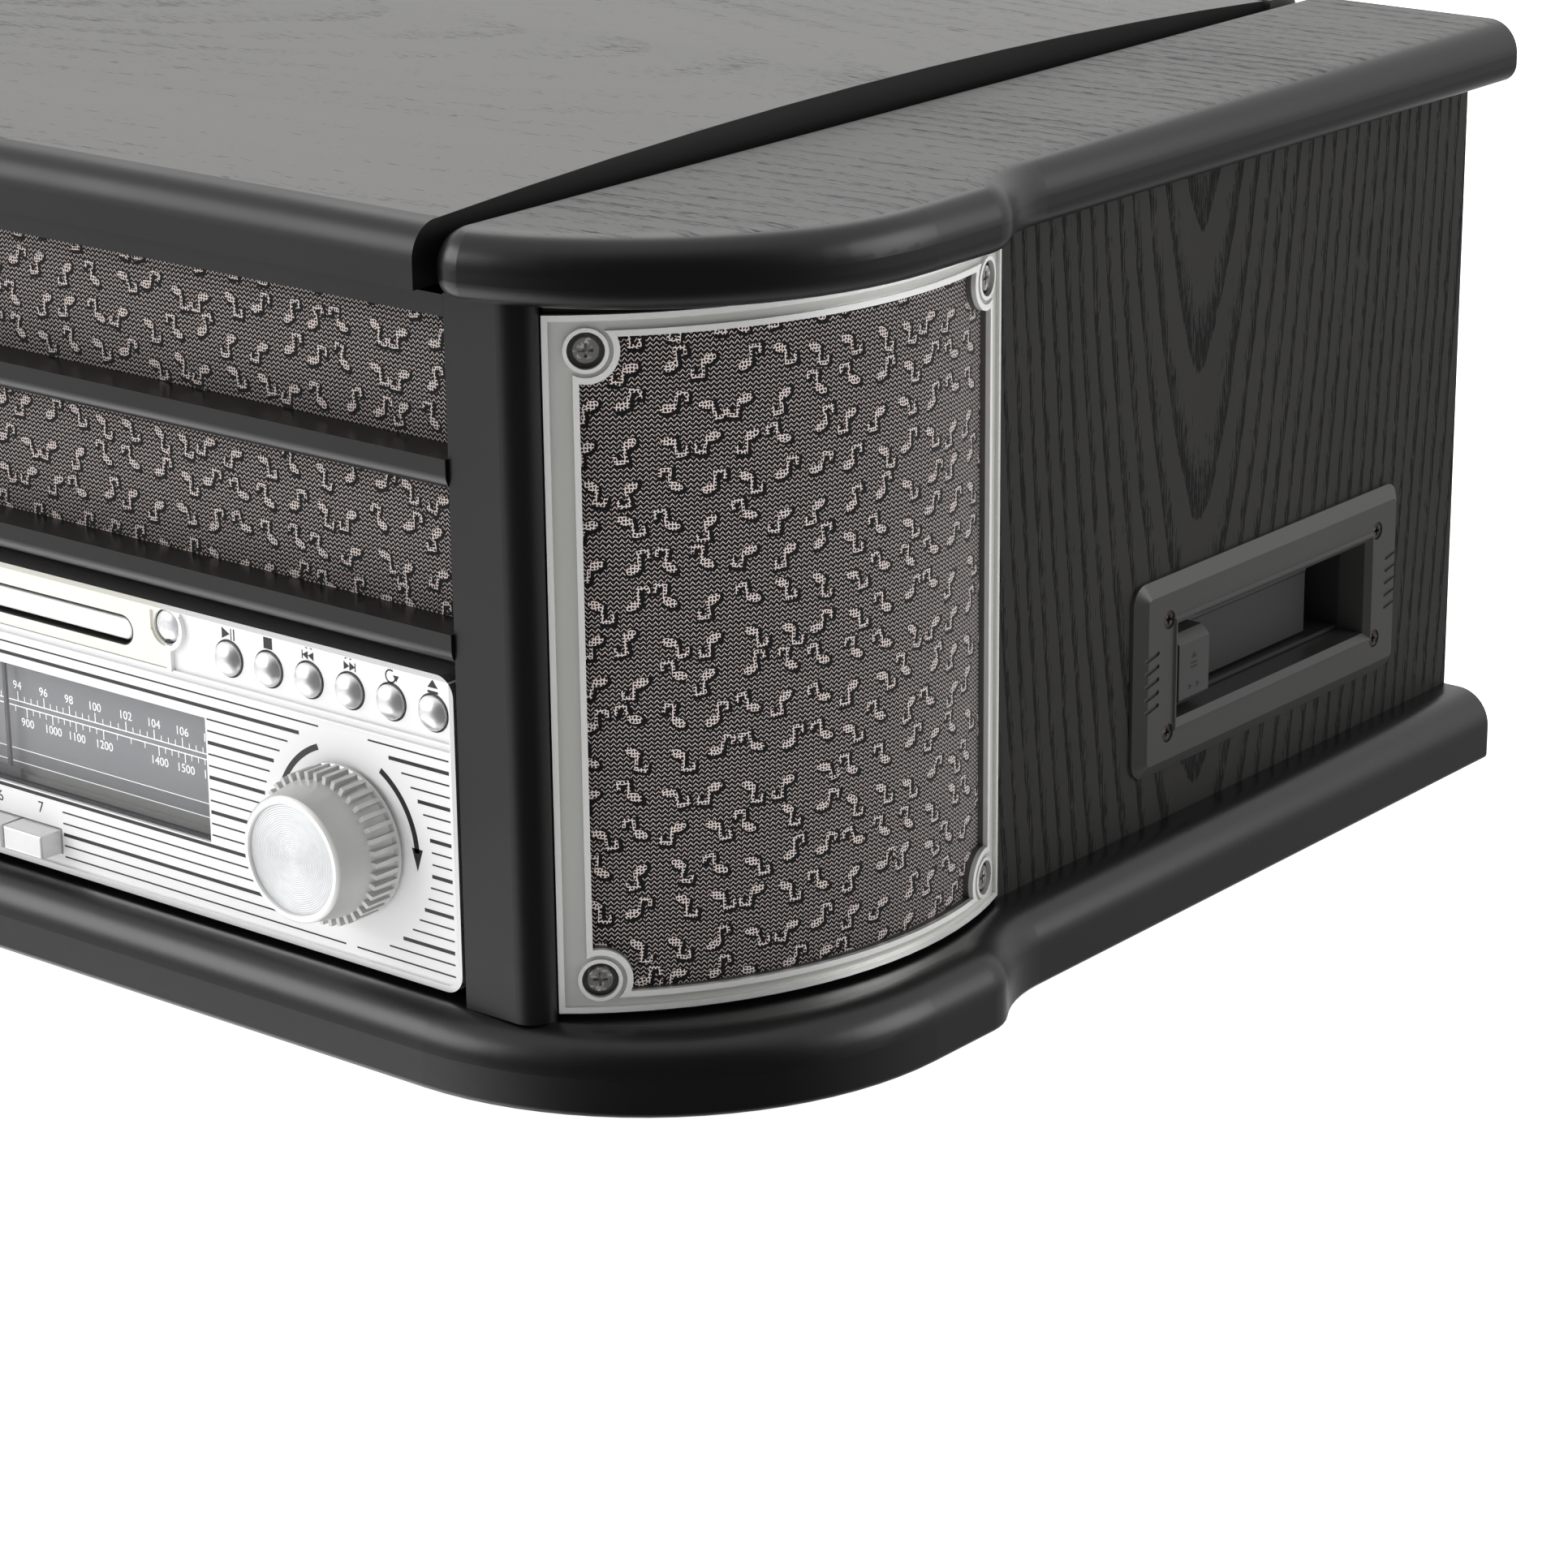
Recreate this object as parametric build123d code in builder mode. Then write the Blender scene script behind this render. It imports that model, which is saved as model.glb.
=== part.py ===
"""Stereo music centre: a bow-fronted wooden case with a record player under an arched lid.

The case also holds a radio with a dial, a CD drive behind the fascia and a cassette slot in
the right side.  Millimetres.  +X is to the right of someone facing the front, the front looks
along -Y and +Z is up.  The origin is on the surface under the feet, at the middle of the
whole outline.
"""

import os
from math import acos, asin, atan2, cos, degrees, radians, sin, sqrt

from build123d import *

os.makedirs("parts", exist_ok=True)

# ----------------------------------------------------------------------------------------
# Driving dimensions
# ----------------------------------------------------------------------------------------

# Case
case_depth = 335.0          # fascia face to the rear edge of the boards
body_height = 168.0         # base board to shoulder boards
base_thickness = 19.0
shoulder_thickness = 16.0
panel_thickness = 10.0      # side panels
divider_thickness = 9.0     # walls between the record well and the loudspeaker chambers
batten = 8.0                # strips on those walls that carry the deck
back_thickness = 6.0
back_inset = 4.0            # back panel stands this far inside the rear edges
foot_height = 10.0
foot_radius = 9.0
foot_taper = 1.5            # feet are this much wider where they meet the board
foot_inset_side = 18.0
foot_inset_front = 42.0
foot_inset_rear = 35.0
vent_count = 9
vent_height = 92.0          # middle of the vents above the base board
vent_pitch = 7.0
vent_length = 90.0
vent_width = 3.0

# Plan of the base and the shoulders
front_overhang = 11.2       # moulded edge in front of the fascia face
bow_lead = 4.0              # the bow starts this far inside the fascia's edge
bow_radius = 84.5
bow_end_depth = 101.0       # where the bow ends and the hollow begins
hollow_length = 25.0        # length of the concave run back to the straight side
edge_overhang = 14.3        # moulded edge outside the side panel
bullnose_base = 9.5
bullnose_top = 8.5
bullnose_under = 5.0
board_arris = 1.5           # lower edge of the base board
hollow_ease = 14.0          # radius where the bow turns into the hollow
shoulder_corner = 10.0
corner_depth_ratio = 0.8    # a shoulder's front corner is this much shallower than wide
rail_round = 3.0
panel_step = 1.1            # side panel inside the loudspeaker frame's outer edge
panel_gap = 0.4

# Fascia
fascia_width = 348.0
fascia_height = 77.0
fascia_gap_below = 1.6
fascia_thickness = 2.5
fascia_rim_depth = 9.0      # depth of the wall behind the fascia's edge
fascia_rim_wall = 2.0
fascia_corner = 5.0
fascia_side_gap = 2.6       # fascia edge to stile
band_height = 60.6          # height of the bead that divides the fascia
bead_proud = 0.8
bead_width = 1.4
bead_gap = 2.0              # between the two beads that divide the fascia
rim_bead = 1.5              # width of the raised bead round the fascia
trim_proud = 0.5            # raised plate round the CD tray
ridge_width = 1.6           # ridge round each lens and down to the dividing bead
ridge_proud = 1.2
ring_open = 7.0             # the ridge round a lens stops this far below the fascia's top
lens_radius = 4.25          # indicator lens at each end of that plate
lens_x = 82.0
lens_height = 71.4
lens_gap = 0.4
lens_sink = 0.8
dial_width = 185.6
dial_height = 31.4
dial_sill = 19.3            # dial opening above the fascia's lower edge
window_sink = 0.4           # dial window's face inside the fascia's face
window_lip = 2.0
window_lip_sheet = 1.0
dial_plate_depth = 8.0
dial_plate_sheet = 1.5
dial_plate_margin = 5.0
spacer_width = 2.0
track_depth = 6.9           # pointer's guide behind the fascia's face
track_size = 1.2
track_drop = 0.8
pointer_depth = 5.0
pointer_sheet = 0.8
pointer_x = 17.0
pointer_width = 1.0
pointer_foot_width = 8.0
pointer_foot_height = 2.4
button_pitch = 13.0
button_radius = 4.2
button_edge = 6.9           # last button's axis from the fascia's edge
button_height = 67.3
button_proud = 2.6
button_gap = 0.2
button_rise = 0.55          # dome's height lost at dome_share of its radius
dome_share = 0.62
button_rim = 0.6
key_count = 7
key_shift = -10.3           # middle of the row of keys from the centre line
key_pitch = 14.5
key_width = 13.6
key_height = 6.0
key_sill = 4.7
key_proud = 6.8
key_round = 0.6
key_lip = 1.5               # flange above and below each key, behind the fascia
flange_sheet = 1.0
knob_inset = 35.8           # knob axis from the fascia's edge
knob_height = 30.7          # knob axis above the fascia's lower edge
knob_radius = 18.6
knob_front_radius = 14.9
knob_reach = 19.0           # knob face in front of the fascia face
knob_ribs = 40
rib_length = 8.2
rib_width = 1.1
rib_root = 0.6              # depth of a rib's foot in that body
rib_stand = 0.9             # ribs stand this far out of the knob's tapered body
knob_base = 1.5             # gap between the knob and the fascia's face
knob_flange = 0.8
knob_ease = 0.6             # slope from the flange to the tapered body
knob_soft = 0.4
knob_rim = 1.3
knob_dish = 0.9
shaft_radius = 3.0
shaft_depth = 16.0

# Stiles, rails and the cloth panel over the fascia
stile_proud = 2.5
stile_flat = 15.1           # width of the stile's flat front
stile_depth = 20.0
slat_height = 7.4
slat_proud = 3.5
slat_roundness = 0.48       # radius of a slat's front edges over its height
lower_slat_height = 4.0     # lower slat above the fascia
middle_slat_height = 44.5   # middle slat above the fascia
cloth_depth = 7.0           # cloth plane behind the fascia face
cloth_board = 4.0
top_rail_height = 5.0
top_rail_depth = 12.0
stile_turn = 0.2            # degrees between the stile and the loudspeaker frame
board_gap = 0.4

# Loudspeaker bow
bow_axis_inset = 40.0       # axis of the bow inside the fascia's edge
bow_axis_depth = 89.0
frame_radius = 105.5
frame_thickness = 3.0
frame_start = -52.6         # degrees round the bow's axis
frame_end = 20.8
frame_height = 163.0
frame_sill = 1.5
frame_side_border = 8.0
frame_end_border = 5.0
frame_screw_in = 9.6        # screw axis from the frame's upright edge
frame_screw_up = 8.0        # screw axis from the frame's top or bottom edge
frame_boss = 7.5
frame_bead = 1.4            # width of the raised edges
frame_bead_height = 0.9
frame_cup = 4.2             # screw cup
frame_cup_wall = 0.9
frame_hole = 1.7
screw_sink = 2.0            # depth of the frame screws' cups
screw_head = 3.3
screw_head_height = 1.3
screw_head_taper = 18.0
screw_shank = 1.3
cross_width = 0.7           # cross recess in a screw's head
cross_depth = 0.8
baffle_thickness = 8.0
driver_radius = 33.0
driver_depth = 24.0
driver_wall = 2.0           # seat round each driver
driver_lip = 4.0
driver_rim = 5.0            # width of the flat rim round the cone
driver_plate = 2.0
basket_wall = 1.0
magnet_radius = 18.0
magnet_height = 3.0
cone_depth = 12.0
cap_radius = 9.0
cap_depth = 11.0
cap_dip = 2.0
baffle_turn = 0.1           # degrees between the baffle's edges and the frame's

# Lid
lid_side_gap = 1.2
lid_inset = 0.6             # lid's edge inside the stile's inner face
lid_step = 0.6              # front moulding above the lid's rear edge
lid_rise = 5.6
lid_edge = 14.0             # depth of the lid's edges
lid_panel = 9.0             # thickness of the panel where it meets the edges
lid_skirt = 8.0
lid_moulding_depth = 9.2
moulding_flat = 1.0
moulding_under = 4.5
rear_rail_depth = 12.4
lid_rear_gap = 1.6
hinge_length = 46.0
hinge_offset = 105.0        # middle of each hinge from the centre line
knuckle_radius = 2.0
hinge_pin_radius = 1.0
hinge_lift = 0.6
leaf_thickness = 0.6
leaf_drop = 10.0
leaf_tuck = 1.2
knuckle_count = 3

# Lid stay: an arm as long as its pivot's distance from the hinge, running in a slotted plate
stay_length = 75.0
stay_start = 12.0           # degrees between arm and slot line with the lid shut
stay_line = 15.8            # degrees the slot's line falls away from the hinge
stay_width = 7.0
stay_sheet = 1.5
stay_pin_radius = 2.4
stay_open = 55.0            # degrees the lid opens
stay_inset = 3.6            # stay's pivot inside the lid's hollow
stay_offset = 2.0
stay_tip_reach = 5.4
rail_offset = 1.6
rail_margin = 7.0
rail_drop = 5.6
rail_flange = 6.0
rail_flange_share = 0.7     # flange's length over the slotted plate's
rail_flange_sheet = 1.2
bracket_inset = 6.5
bracket_foot = 8.0
bracket_head = 5.0
bracket_sheet = 4.0
bracket_pin_inset = 3.0
bracket_pin_reach = 4.6

# Record player
deck_drop = 32.0            # deck's upper face below the shoulder boards
deck_thickness = 4.0
platter_radius = 115.0
platter_x = -22.0
platter_depth = 165.0
platter_sheet = 2.5
platter_height = 9.0
platter_lift = 1.5
platter_arris = 1.0
platter_wall = 3.0
belt_track_wall = 2.5
hub_radius = 11.0
belt_track_radius = 80.0
belt_thickness = 0.8
belt_height = 4.0
belt_gap = 0.05
belt_lift = 0.2
pulley_radius = 5.0
pulley_offset = 96.0
pulley_lip = 0.6
pulley_room = 2.0           # hole in the deck round the pulley
motor_shaft_radius = 1.5
motor_shaft_tail = 4.0
motor_radius = 15.0
motor_length = 24.0
motor_flange_radius = 17.0
motor_flange = 2.0
spindle_radius = 3.55       # through a record's centre hole
bearing_radius = 4.0        # the same spindle inside the platter's hub
spindle_height = 9.0        # above the mat
spindle_point = 1.2
bearing_depth = 6.0         # bearing's foot below the deck
mat_thickness = 2.0
mat_inset = 4.0
mat_hole_room = 0.6
mat_rings = 4
mat_ring_start = 50.0
mat_ring_pitch = 15.0
mat_ring_width = 1.5
mat_ring_depth = 0.6
arm_x = 140.0
arm_depth = 265.0
arm_length = 206.0          # pivot to stylus
arm_height = 22.0           # arm tube above the deck
arm_tube_radius = 3.0
arm_base_radius = 15.0
arm_base_height = 9.0
arm_base_bevel = 1.5
arm_tail = 26.0             # arm tube behind its pivot
weight_lead = 13.0
weight_radius = 9.0
weight_length = 15.0
pivot_block = 9.0
pivot_block_width = 10.0
axle_radius = 1.2
gimbal_shaft = 4.0
gimbal_radius = 11.0
gimbal_plate = 2.5
yoke_half = 9.0
yoke_sheet = 2.0
yoke_width = 5.0
yoke_eye = 3.6
yoke_lap = 2.4
head_width = 18.0
head_length = 30.0
head_lap = 6.0              # tube inside the headshell
head_lift = 1.5
head_sheet = 2.5
head_neck = 5.0
head_shoulder = 10.0
head_taper = 1.0
head_nose = 4.0
cartridge_lead = 8.0
cartridge_width = 9.0
cartridge_length = 17.0
cartridge_lap = 0.5
stylus_gap = 2.4
finger_lead = 8.0
finger_length = 12.0
finger_width = 2.4
finger_sheet = 1.6
finger_in = 2.0
finger_rise = 2.8
rest_lead = 150.0           # arm rest in front of the pivot
rest_radius = 4.0
rest_clip = 2.0
rest_clip_width = 8.0
lever_side = 14.0           # cueing lever beside the pivot
lever_lead = 24.0
lever_half = 2.4
lever_eye = 3.0
lever_start = 2.7
lever_length = 13.0
lever_sheet = 2.4
ear_sheet = 2.0
ear_gap = 6.0
ear_width = 8.0
ear_height = 9.0
ear_axle = 5.0
speed_side = 12.0
speed_depth = 48.0
speed_disc_radius = 8.0
speed_disc = 3.0
speed_grip = (4.0, 14.0, 6.0)
speed_grip_lead = 5.0

# Drives
tray_width = 140.4
tray_height = 7.0
tray_level = 67.7           # tray slot's middle above the fascia's lower edge
tray_length = 152.0
disc_radius = 60.0
drive_wall = 6.0
drive_gap = 3.5             # drive's front behind the fascia's rim
drive_top_gap = 1.6
drive_tail = 24.0           # drive behind the tray
tray_clear = 2.6            # tray plate thinner than its opening
tray_recess = 0.3           # tray's front stands this far inside the fascia's face
tray_face = 2.6
tray_rim_gap = 0.8
tray_round = 0.7
tray_lap = 0.4
tray_short = 6.0
tray_side = 2.5
tray_corner = 2.0
tray_window_shift = 28.0
tray_window_length = 100.0
tray_window_width = 38.0
disc_lead = 14.0
disc_sink = 1.6
slot_depth_front = 217.6    # front end of the cassette slot behind the fascia face
slot_width = 69.8
slot_height = 19.4
slot_sill = 28.2            # slot above the base board
cassette_depth = 104.0
bezel_length = 122.0
bezel_height = 51.0
bezel_proud = 3.0
bezel_corner = 5.0
bezel_slope_depth = 2.2
bezel_slope_width = 3.6
bezel_screw_in = 12.6
bezel_screw_z = 14.9        # screws above and below the bezel's middle
bezel_screw_head = 2.2
bezel_cup = 2.4
bezel_cup_depth = 1.5
bezel_ribs = 5
bezel_rib_inset = 5.5
bezel_rib_pitch = 3.4
bezel_rib_length = 6.0
bezel_rib_width = 1.1
bezel_rib_lean = 12.0
bezel_rib_depth = 0.5
mouth_extra_length = 18.2   # mouth over the slot
mouth_extra_height = 5.6
mouth_rim = 2.5
mouth_rim_height = 0.6
mouth_rim_taper = 35.0
mouth_bevel = 1.6
sleeve_extra_length = 27.0
sleeve_extra_height = 13.0
slot_off_centre = 8.4       # slot's middle behind the bezel's
slot_below_centre = 1.4
mech_extra_length = 10.0
mech_extra_height = 6.0
mech_wall = 3.5
mech_room = 3.0
mech_sink = 5.5             # mechanism's face inside the side panel's
tape_key_lead = 15.4
tape_key_width = 14.0
tape_key_height = 20.0
tape_key_depth = 16.0
tape_key_tail = 10.0
tape_key_proud = 1.5
tape_key_bevel = 2.4
flap_sink = 3.2
flap_pin_drop = 1.6
flap_pin_radius = 1.1
flap_short = 13.0
flap_clear = 2.4
flap_sheet = 1.6

# Back and electronics
jack_spacing = 14.0
jack_x = -130.0
jack_height = 40.0
jack_radius = 4.15
jack_body_radius = 4.5
jack_flange_radius = 5.5
jack_tail = 6.0
jack_bore = 1.65
jack_bore_depth = 9.0
jack_length = 8.5
jack_flange = 1.5
gland_x = 150.0
gland_radius = 6.0
gland_lip = 2.5
gland_flange = 2.0
gland_tail = 2.0
cord_bore = 3.4
board_x = -70.0
board_rear = 90.0
board_lift = 6.0
board_length = 170.0
board_width = 110.0
board_sheet = 1.6
post_inset = 7.0
post_radius = 3.0
sink_shift = 60.0
heat_sink = (6.0, 70.0, 30.0)
capacitor_shift = 50.0
capacitor_lead = 20.0
capacitor_pitch = 22.0
capacitor_radius = 8.0
capacitor_height = 24.0
transformer_x = 62.0
transformer_rear = 80.0
transformer_foot = (66.0, 70.0, 3.0)
transformer_core = (60.0, 32.0, 50.0)
transformer_coil = (34.0, 54.0, 28.0)

# Clearances
running = 0.05              # shafts in bores
slide_gap = 0.35            # moving pieces in their openings
sheet_gap = 0.3
joint_gap = 0.05            # glued joints between separate pieces of the front frame
fitting_gap = 0.5
hole_room = 0.1
cut_reach = 4.0             # cutting bodies reach this far past what they cut
same = 0.01                 # places closer than this are one place

# ----------------------------------------------------------------------------------------
# Places worked out from them
# ----------------------------------------------------------------------------------------

rear_reach = case_depth - back_inset + jack_flange + jack_length
face_y = (knob_reach - rear_reach) / 2
front_y = face_y - front_overhang
rear_y = face_y + case_depth
back_face_y = rear_y - back_inset
back_inner_y = back_face_y - back_thickness

fascia_half = fascia_width / 2
bow_start = fascia_half - bow_lead
stile_inner = fascia_half + fascia_side_gap
bow_x = fascia_half - bow_axis_inset
bow_y = face_y + bow_axis_depth
floor_z = foot_height + base_thickness
under_z = floor_z + body_height
top_z = under_z + shoulder_thickness
fascia_z = floor_z + fascia_gap_below
fascia_top = fascia_z + fascia_height
deck_z = under_z - deck_drop


def back(distance):
    """Y of a plane this far behind the fascia's face."""
    return face_y + distance


def bow_point(radius, angle):
    """Point in plan on a circle round the right bow's axis."""
    return (bow_x + radius * cos(radians(angle)), bow_y + radius * sin(radians(angle)))


def bow_sector(inner, outer, start, end):
    """Plan of a curved wall round the right bow's axis."""
    with BuildSketch() as sector:
        with BuildLine():
            CenterArc((bow_x, bow_y), outer, start, end - start)
            Line(bow_point(outer, end), bow_point(inner, end))
            CenterArc((bow_x, bow_y), inner, start, end - start)
            Line(bow_point(inner, start), bow_point(outer, start))
        make_face()
    return sector.sketch


panel_outer = bow_point(frame_radius, frame_end)[0] - panel_step
panel_inner = panel_outer - panel_thickness
side_x = panel_outer + edge_overhang
bow_outer = bow_start + bow_radius
panel_front_y = bow_point(frame_radius, frame_end)[1] + panel_gap
lid_half = stile_inner - lid_inset
shoulder_inner = lid_half + lid_side_gap


def half_plan(inner_x, corner):
    """Plan of the right half of a board, from inner_x out to the bow and the straight side."""
    hollow_start = (bow_outer, back(bow_end_depth))
    hollow_end = (side_x, back(bow_end_depth + hollow_length))
    start_x = inner_x + corner
    turn = degrees(asin(max(0, start_x - bow_start) / bow_radius))
    heading = (cos(radians(turn)), sin(radians(turn)))
    start_y = front_y + bow_radius * (1 - heading[0])
    with BuildSketch() as plan:
        with BuildLine():
            if start_x < bow_start:
                Line((start_x, front_y), (bow_start, front_y))
            bow = JernArc((max(start_x, bow_start), start_y), heading, bow_radius, 90 - turn)
            Line(bow @ 1, hollow_start)
            TangentArc(hollow_end, hollow_start, tangent=(0, -1))
            Line(hollow_end, (side_x, rear_y))
            Line((side_x, rear_y), (inner_x, rear_y))
            corner_end = (inner_x, start_y + corner_depth_ratio * corner)
            Line((inner_x, rear_y), corner_end)
            if corner:
                TangentArc((start_x, start_y), corner_end, tangent=(-heading[0], -heading[1]))
        make_face()
        kink = plan.vertices().sort_by_distance(Vertex(*hollow_start, 0))[0]
        fillet(kink, radius=hollow_ease)
    return plan.sketch


def outer_edges(part, level, skip_x):
    """Moulded edges of a board at one level: all but the rear one and the one at skip_x."""
    edges = part.edges().filter_by(lambda e: abs(e.center().Z - level) < same)
    edges = edges.filter_by(lambda e: abs(e.bounding_box().max.Z - e.bounding_box().min.Z) < same)
    edges = edges.filter_by(lambda e: e.bounding_box().min.Y < rear_y - same)
    return edges.filter_by(lambda e: abs(abs(e.center().X) - skip_x) > same)


# ----------------------------------------------------------------------------------------
# Case: boards and feet
# ----------------------------------------------------------------------------------------

with BuildPart() as base_board:
    with BuildSketch(Plane.XY.offset(foot_height)):
        add(half_plan(0, 0))
        mirror(about=Plane.YZ)
    extrude(amount=base_thickness)
    fillet(outer_edges(base_board, floor_z, -1), radius=bullnose_base)
    fillet(outer_edges(base_board, foot_height, -1), radius=board_arris)
base_board.part.label = "base_board"
export_step(base_board.part, "parts/base_board.step")

foot_x = panel_inner - foot_inset_side
foot_front_y = back(foot_inset_front)
foot_rear_y = rear_y - foot_inset_rear

with BuildPart() as rubber_feet:
    for foot_y in (foot_front_y, foot_rear_y):
        for side in (-1, 1):
            with BuildSketch(Plane.XY.offset(foot_height)):
                with Locations((side * foot_x, foot_y)):
                    Circle(foot_radius + foot_taper)
            with BuildSketch(Plane.XY):
                with Locations((side * foot_x, foot_y)):
                    Circle(foot_radius)
            loft()
rubber_feet.part.label = "rubber_feet"
export_step(rubber_feet.part, "parts/rubber_feet.step")

bezel_middle_y = back(slot_depth_front + slot_width / 2 - slot_off_centre)
bezel_middle_z = floor_z + slot_sill + slot_height / 2 + slot_below_centre
sleeve_length = slot_width + sleeve_extra_length
sleeve_height = slot_height + sleeve_extra_height
slot_front_y = back(slot_depth_front)
slot_z = floor_z + slot_sill

with BuildPart() as side_panel_left:
    with BuildSketch(Plane.YZ.offset(-panel_outer)):
        with Locations(((panel_front_y + rear_y) / 2, (floor_z + under_z) / 2)):
            Rectangle(rear_y - panel_front_y, body_height)
    extrude(amount=panel_thickness)
side_panel_left.part.label = "side_panel_left"
export_step(side_panel_left.part, "parts/side_panel_left.step")

with BuildPart() as side_panel_right:
    with BuildSketch(Plane.YZ.offset(panel_inner)):
        with Locations(((panel_front_y + rear_y) / 2, (floor_z + under_z) / 2)):
            Rectangle(rear_y - panel_front_y, body_height)
        with Locations((bezel_middle_y, bezel_middle_z)):
            Rectangle(sleeve_length + 2 * fitting_gap, sleeve_height + 2 * fitting_gap, mode=Mode.SUBTRACT)
    extrude(amount=panel_thickness)
side_panel_right.part.label = "side_panel_right"
export_step(side_panel_right.part, "parts/side_panel_right.step")

mech_length = sleeve_length + mech_extra_length
mech_height = sleeve_height + mech_extra_height
mech_face_x = panel_outer - mech_sink
mech_inner_x = mech_face_x - cassette_depth - mech_wall
divider_front_y = back(stile_depth)

with BuildPart() as dividers:
    for side in (-1, 1):
        with BuildSketch(Plane.XZ.offset(-divider_front_y)):
            with Locations((side * (shoulder_inner + divider_thickness / 2), (floor_z + under_z) / 2)):
                Rectangle(divider_thickness, body_height)
            batten_z = deck_z - deck_thickness - batten / 2
            with Locations((side * (shoulder_inner - batten / 2), batten_z)):
                Rectangle(batten, batten)
        extrude(amount=-(back_inner_y - divider_front_y))
    with Locations((shoulder_inner, bezel_middle_y, bezel_middle_z)):
        Box(4 * divider_thickness, mech_length + 2 * mech_room, mech_height + 2 * mech_room,
            mode=Mode.SUBTRACT)
dividers.part.label = "dividers"
export_step(dividers.part, "parts/dividers.step")

with BuildPart() as shoulder_right:
    with BuildSketch(Plane.XY.offset(under_z)):
        add(half_plan(shoulder_inner, shoulder_corner))
    extrude(amount=shoulder_thickness)
    fillet(outer_edges(shoulder_right, top_z, shoulder_inner), radius=bullnose_top)
    fillet(outer_edges(shoulder_right, under_z, shoulder_inner), radius=bullnose_under)

with BuildPart() as shoulders:
    add(shoulder_right.part)
    mirror(about=Plane.YZ)
shoulders.part.label = "shoulders"
export_step(shoulders.part, "parts/shoulders.step")

rail_front_y = rear_y - rear_rail_depth
lid_rear_y = rail_front_y - lid_rear_gap
hinge_y = (rail_front_y + lid_rear_y) / 2
hinge_z = top_z + knuckle_radius + hinge_lift

with BuildPart() as rear_rail:
    with BuildSketch(Plane.XY.offset(under_z)):
        with Locations((0, (rail_front_y + rear_y) / 2)):
            Rectangle(2 * shoulder_inner, rear_rail_depth)
    extrude(amount=shoulder_thickness)
    fillet(rear_rail.edges().filter_by(Axis.X).group_by(Axis.Z)[-1].sort_by(Axis.Y)[-1], radius=rail_round)
rear_rail.part.label = "rear_rail"
export_step(rear_rail.part, "parts/rear_rail.step")

jack_z = floor_z + jack_height
upright = (Align.CENTER, Align.CENTER, Align.MIN)
downward = (Align.CENTER, Align.CENTER, Align.MAX)

with BuildPart() as back_panel:
    with BuildSketch(Plane.XZ.offset(-back_inner_y)):
        with Locations((0, (floor_z + under_z) / 2)):
            Rectangle(2 * panel_inner, body_height)
        with Locations((0, floor_z + vent_height)):
            with GridLocations(0, vent_pitch, 1, vent_count):
                SlotOverall(vent_length, vent_width, mode=Mode.SUBTRACT)
        with Locations((jack_x, jack_z)):
            with GridLocations(jack_spacing, 0, 2, 1):
                Circle(jack_body_radius + hole_room, mode=Mode.SUBTRACT)
        with Locations((gland_x, jack_z)):
            Circle(gland_radius + hole_room, mode=Mode.SUBTRACT)
    extrude(amount=-back_thickness)
back_panel.part.label = "back_panel"
export_step(back_panel.part, "parts/back_panel.step")

with BuildPart() as rear_connectors:
    jack_plane = Plane(origin=(jack_x, back_face_y, jack_z), x_dir=(1, 0, 0), z_dir=(0, 1, 0))
    with Locations(jack_plane):
        with GridLocations(jack_spacing, 0, 2, 1):
            Cylinder(jack_flange_radius, jack_flange, align=upright)
            Cylinder(jack_body_radius, back_thickness + jack_tail, align=downward)
            Cylinder(jack_radius, jack_flange + jack_length, align=upright)
    with Locations(jack_plane.offset(jack_flange + jack_length)):
        with GridLocations(jack_spacing, 0, 2, 1):
            Hole(jack_bore, depth=jack_bore_depth)
    gland_plane = Plane(origin=(gland_x, back_face_y, jack_z), z_dir=(0, 1, 0))
    with Locations(gland_plane):
        Cylinder(gland_radius + gland_lip, gland_flange, align=upright)
        Cylinder(gland_radius, back_thickness + gland_tail, align=downward)
    with Locations(gland_plane.offset(gland_flange)):
        Hole(cord_bore, depth=back_thickness + gland_flange + gland_tail)
rear_connectors.part.label = "rear_connectors"
export_step(rear_connectors.part, "parts/rear_connectors.step")

# ----------------------------------------------------------------------------------------
# Front: stiles, rails, cloth panel
# ----------------------------------------------------------------------------------------

stile_face_y = face_y - stile_proud
nose = bow_point(frame_radius, frame_start - stile_turn)
nose_inner = bow_point(frame_radius - frame_thickness - baffle_thickness, frame_start - stile_turn)
top_rail_z = under_z - board_gap - top_rail_height
slat_levels = (fascia_top + lower_slat_height, fascia_top + middle_slat_height)

with BuildPart() as stile_right:
    with BuildSketch(Plane.XY.offset(floor_z)):
        with BuildLine():
            flat = Line((stile_inner, stile_face_y), (stile_inner + stile_flat, stile_face_y))
            TangentArc(flat @ 1, nose, tangent=(1, 0))
            Line(nose, nose_inner)
            Line(nose_inner, (nose_inner[0], divider_front_y))
            Line((nose_inner[0], divider_front_y), (stile_inner, divider_front_y))
            Line((stile_inner, divider_front_y), flat @ 0)
        make_face()
    extrude(amount=body_height)

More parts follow.
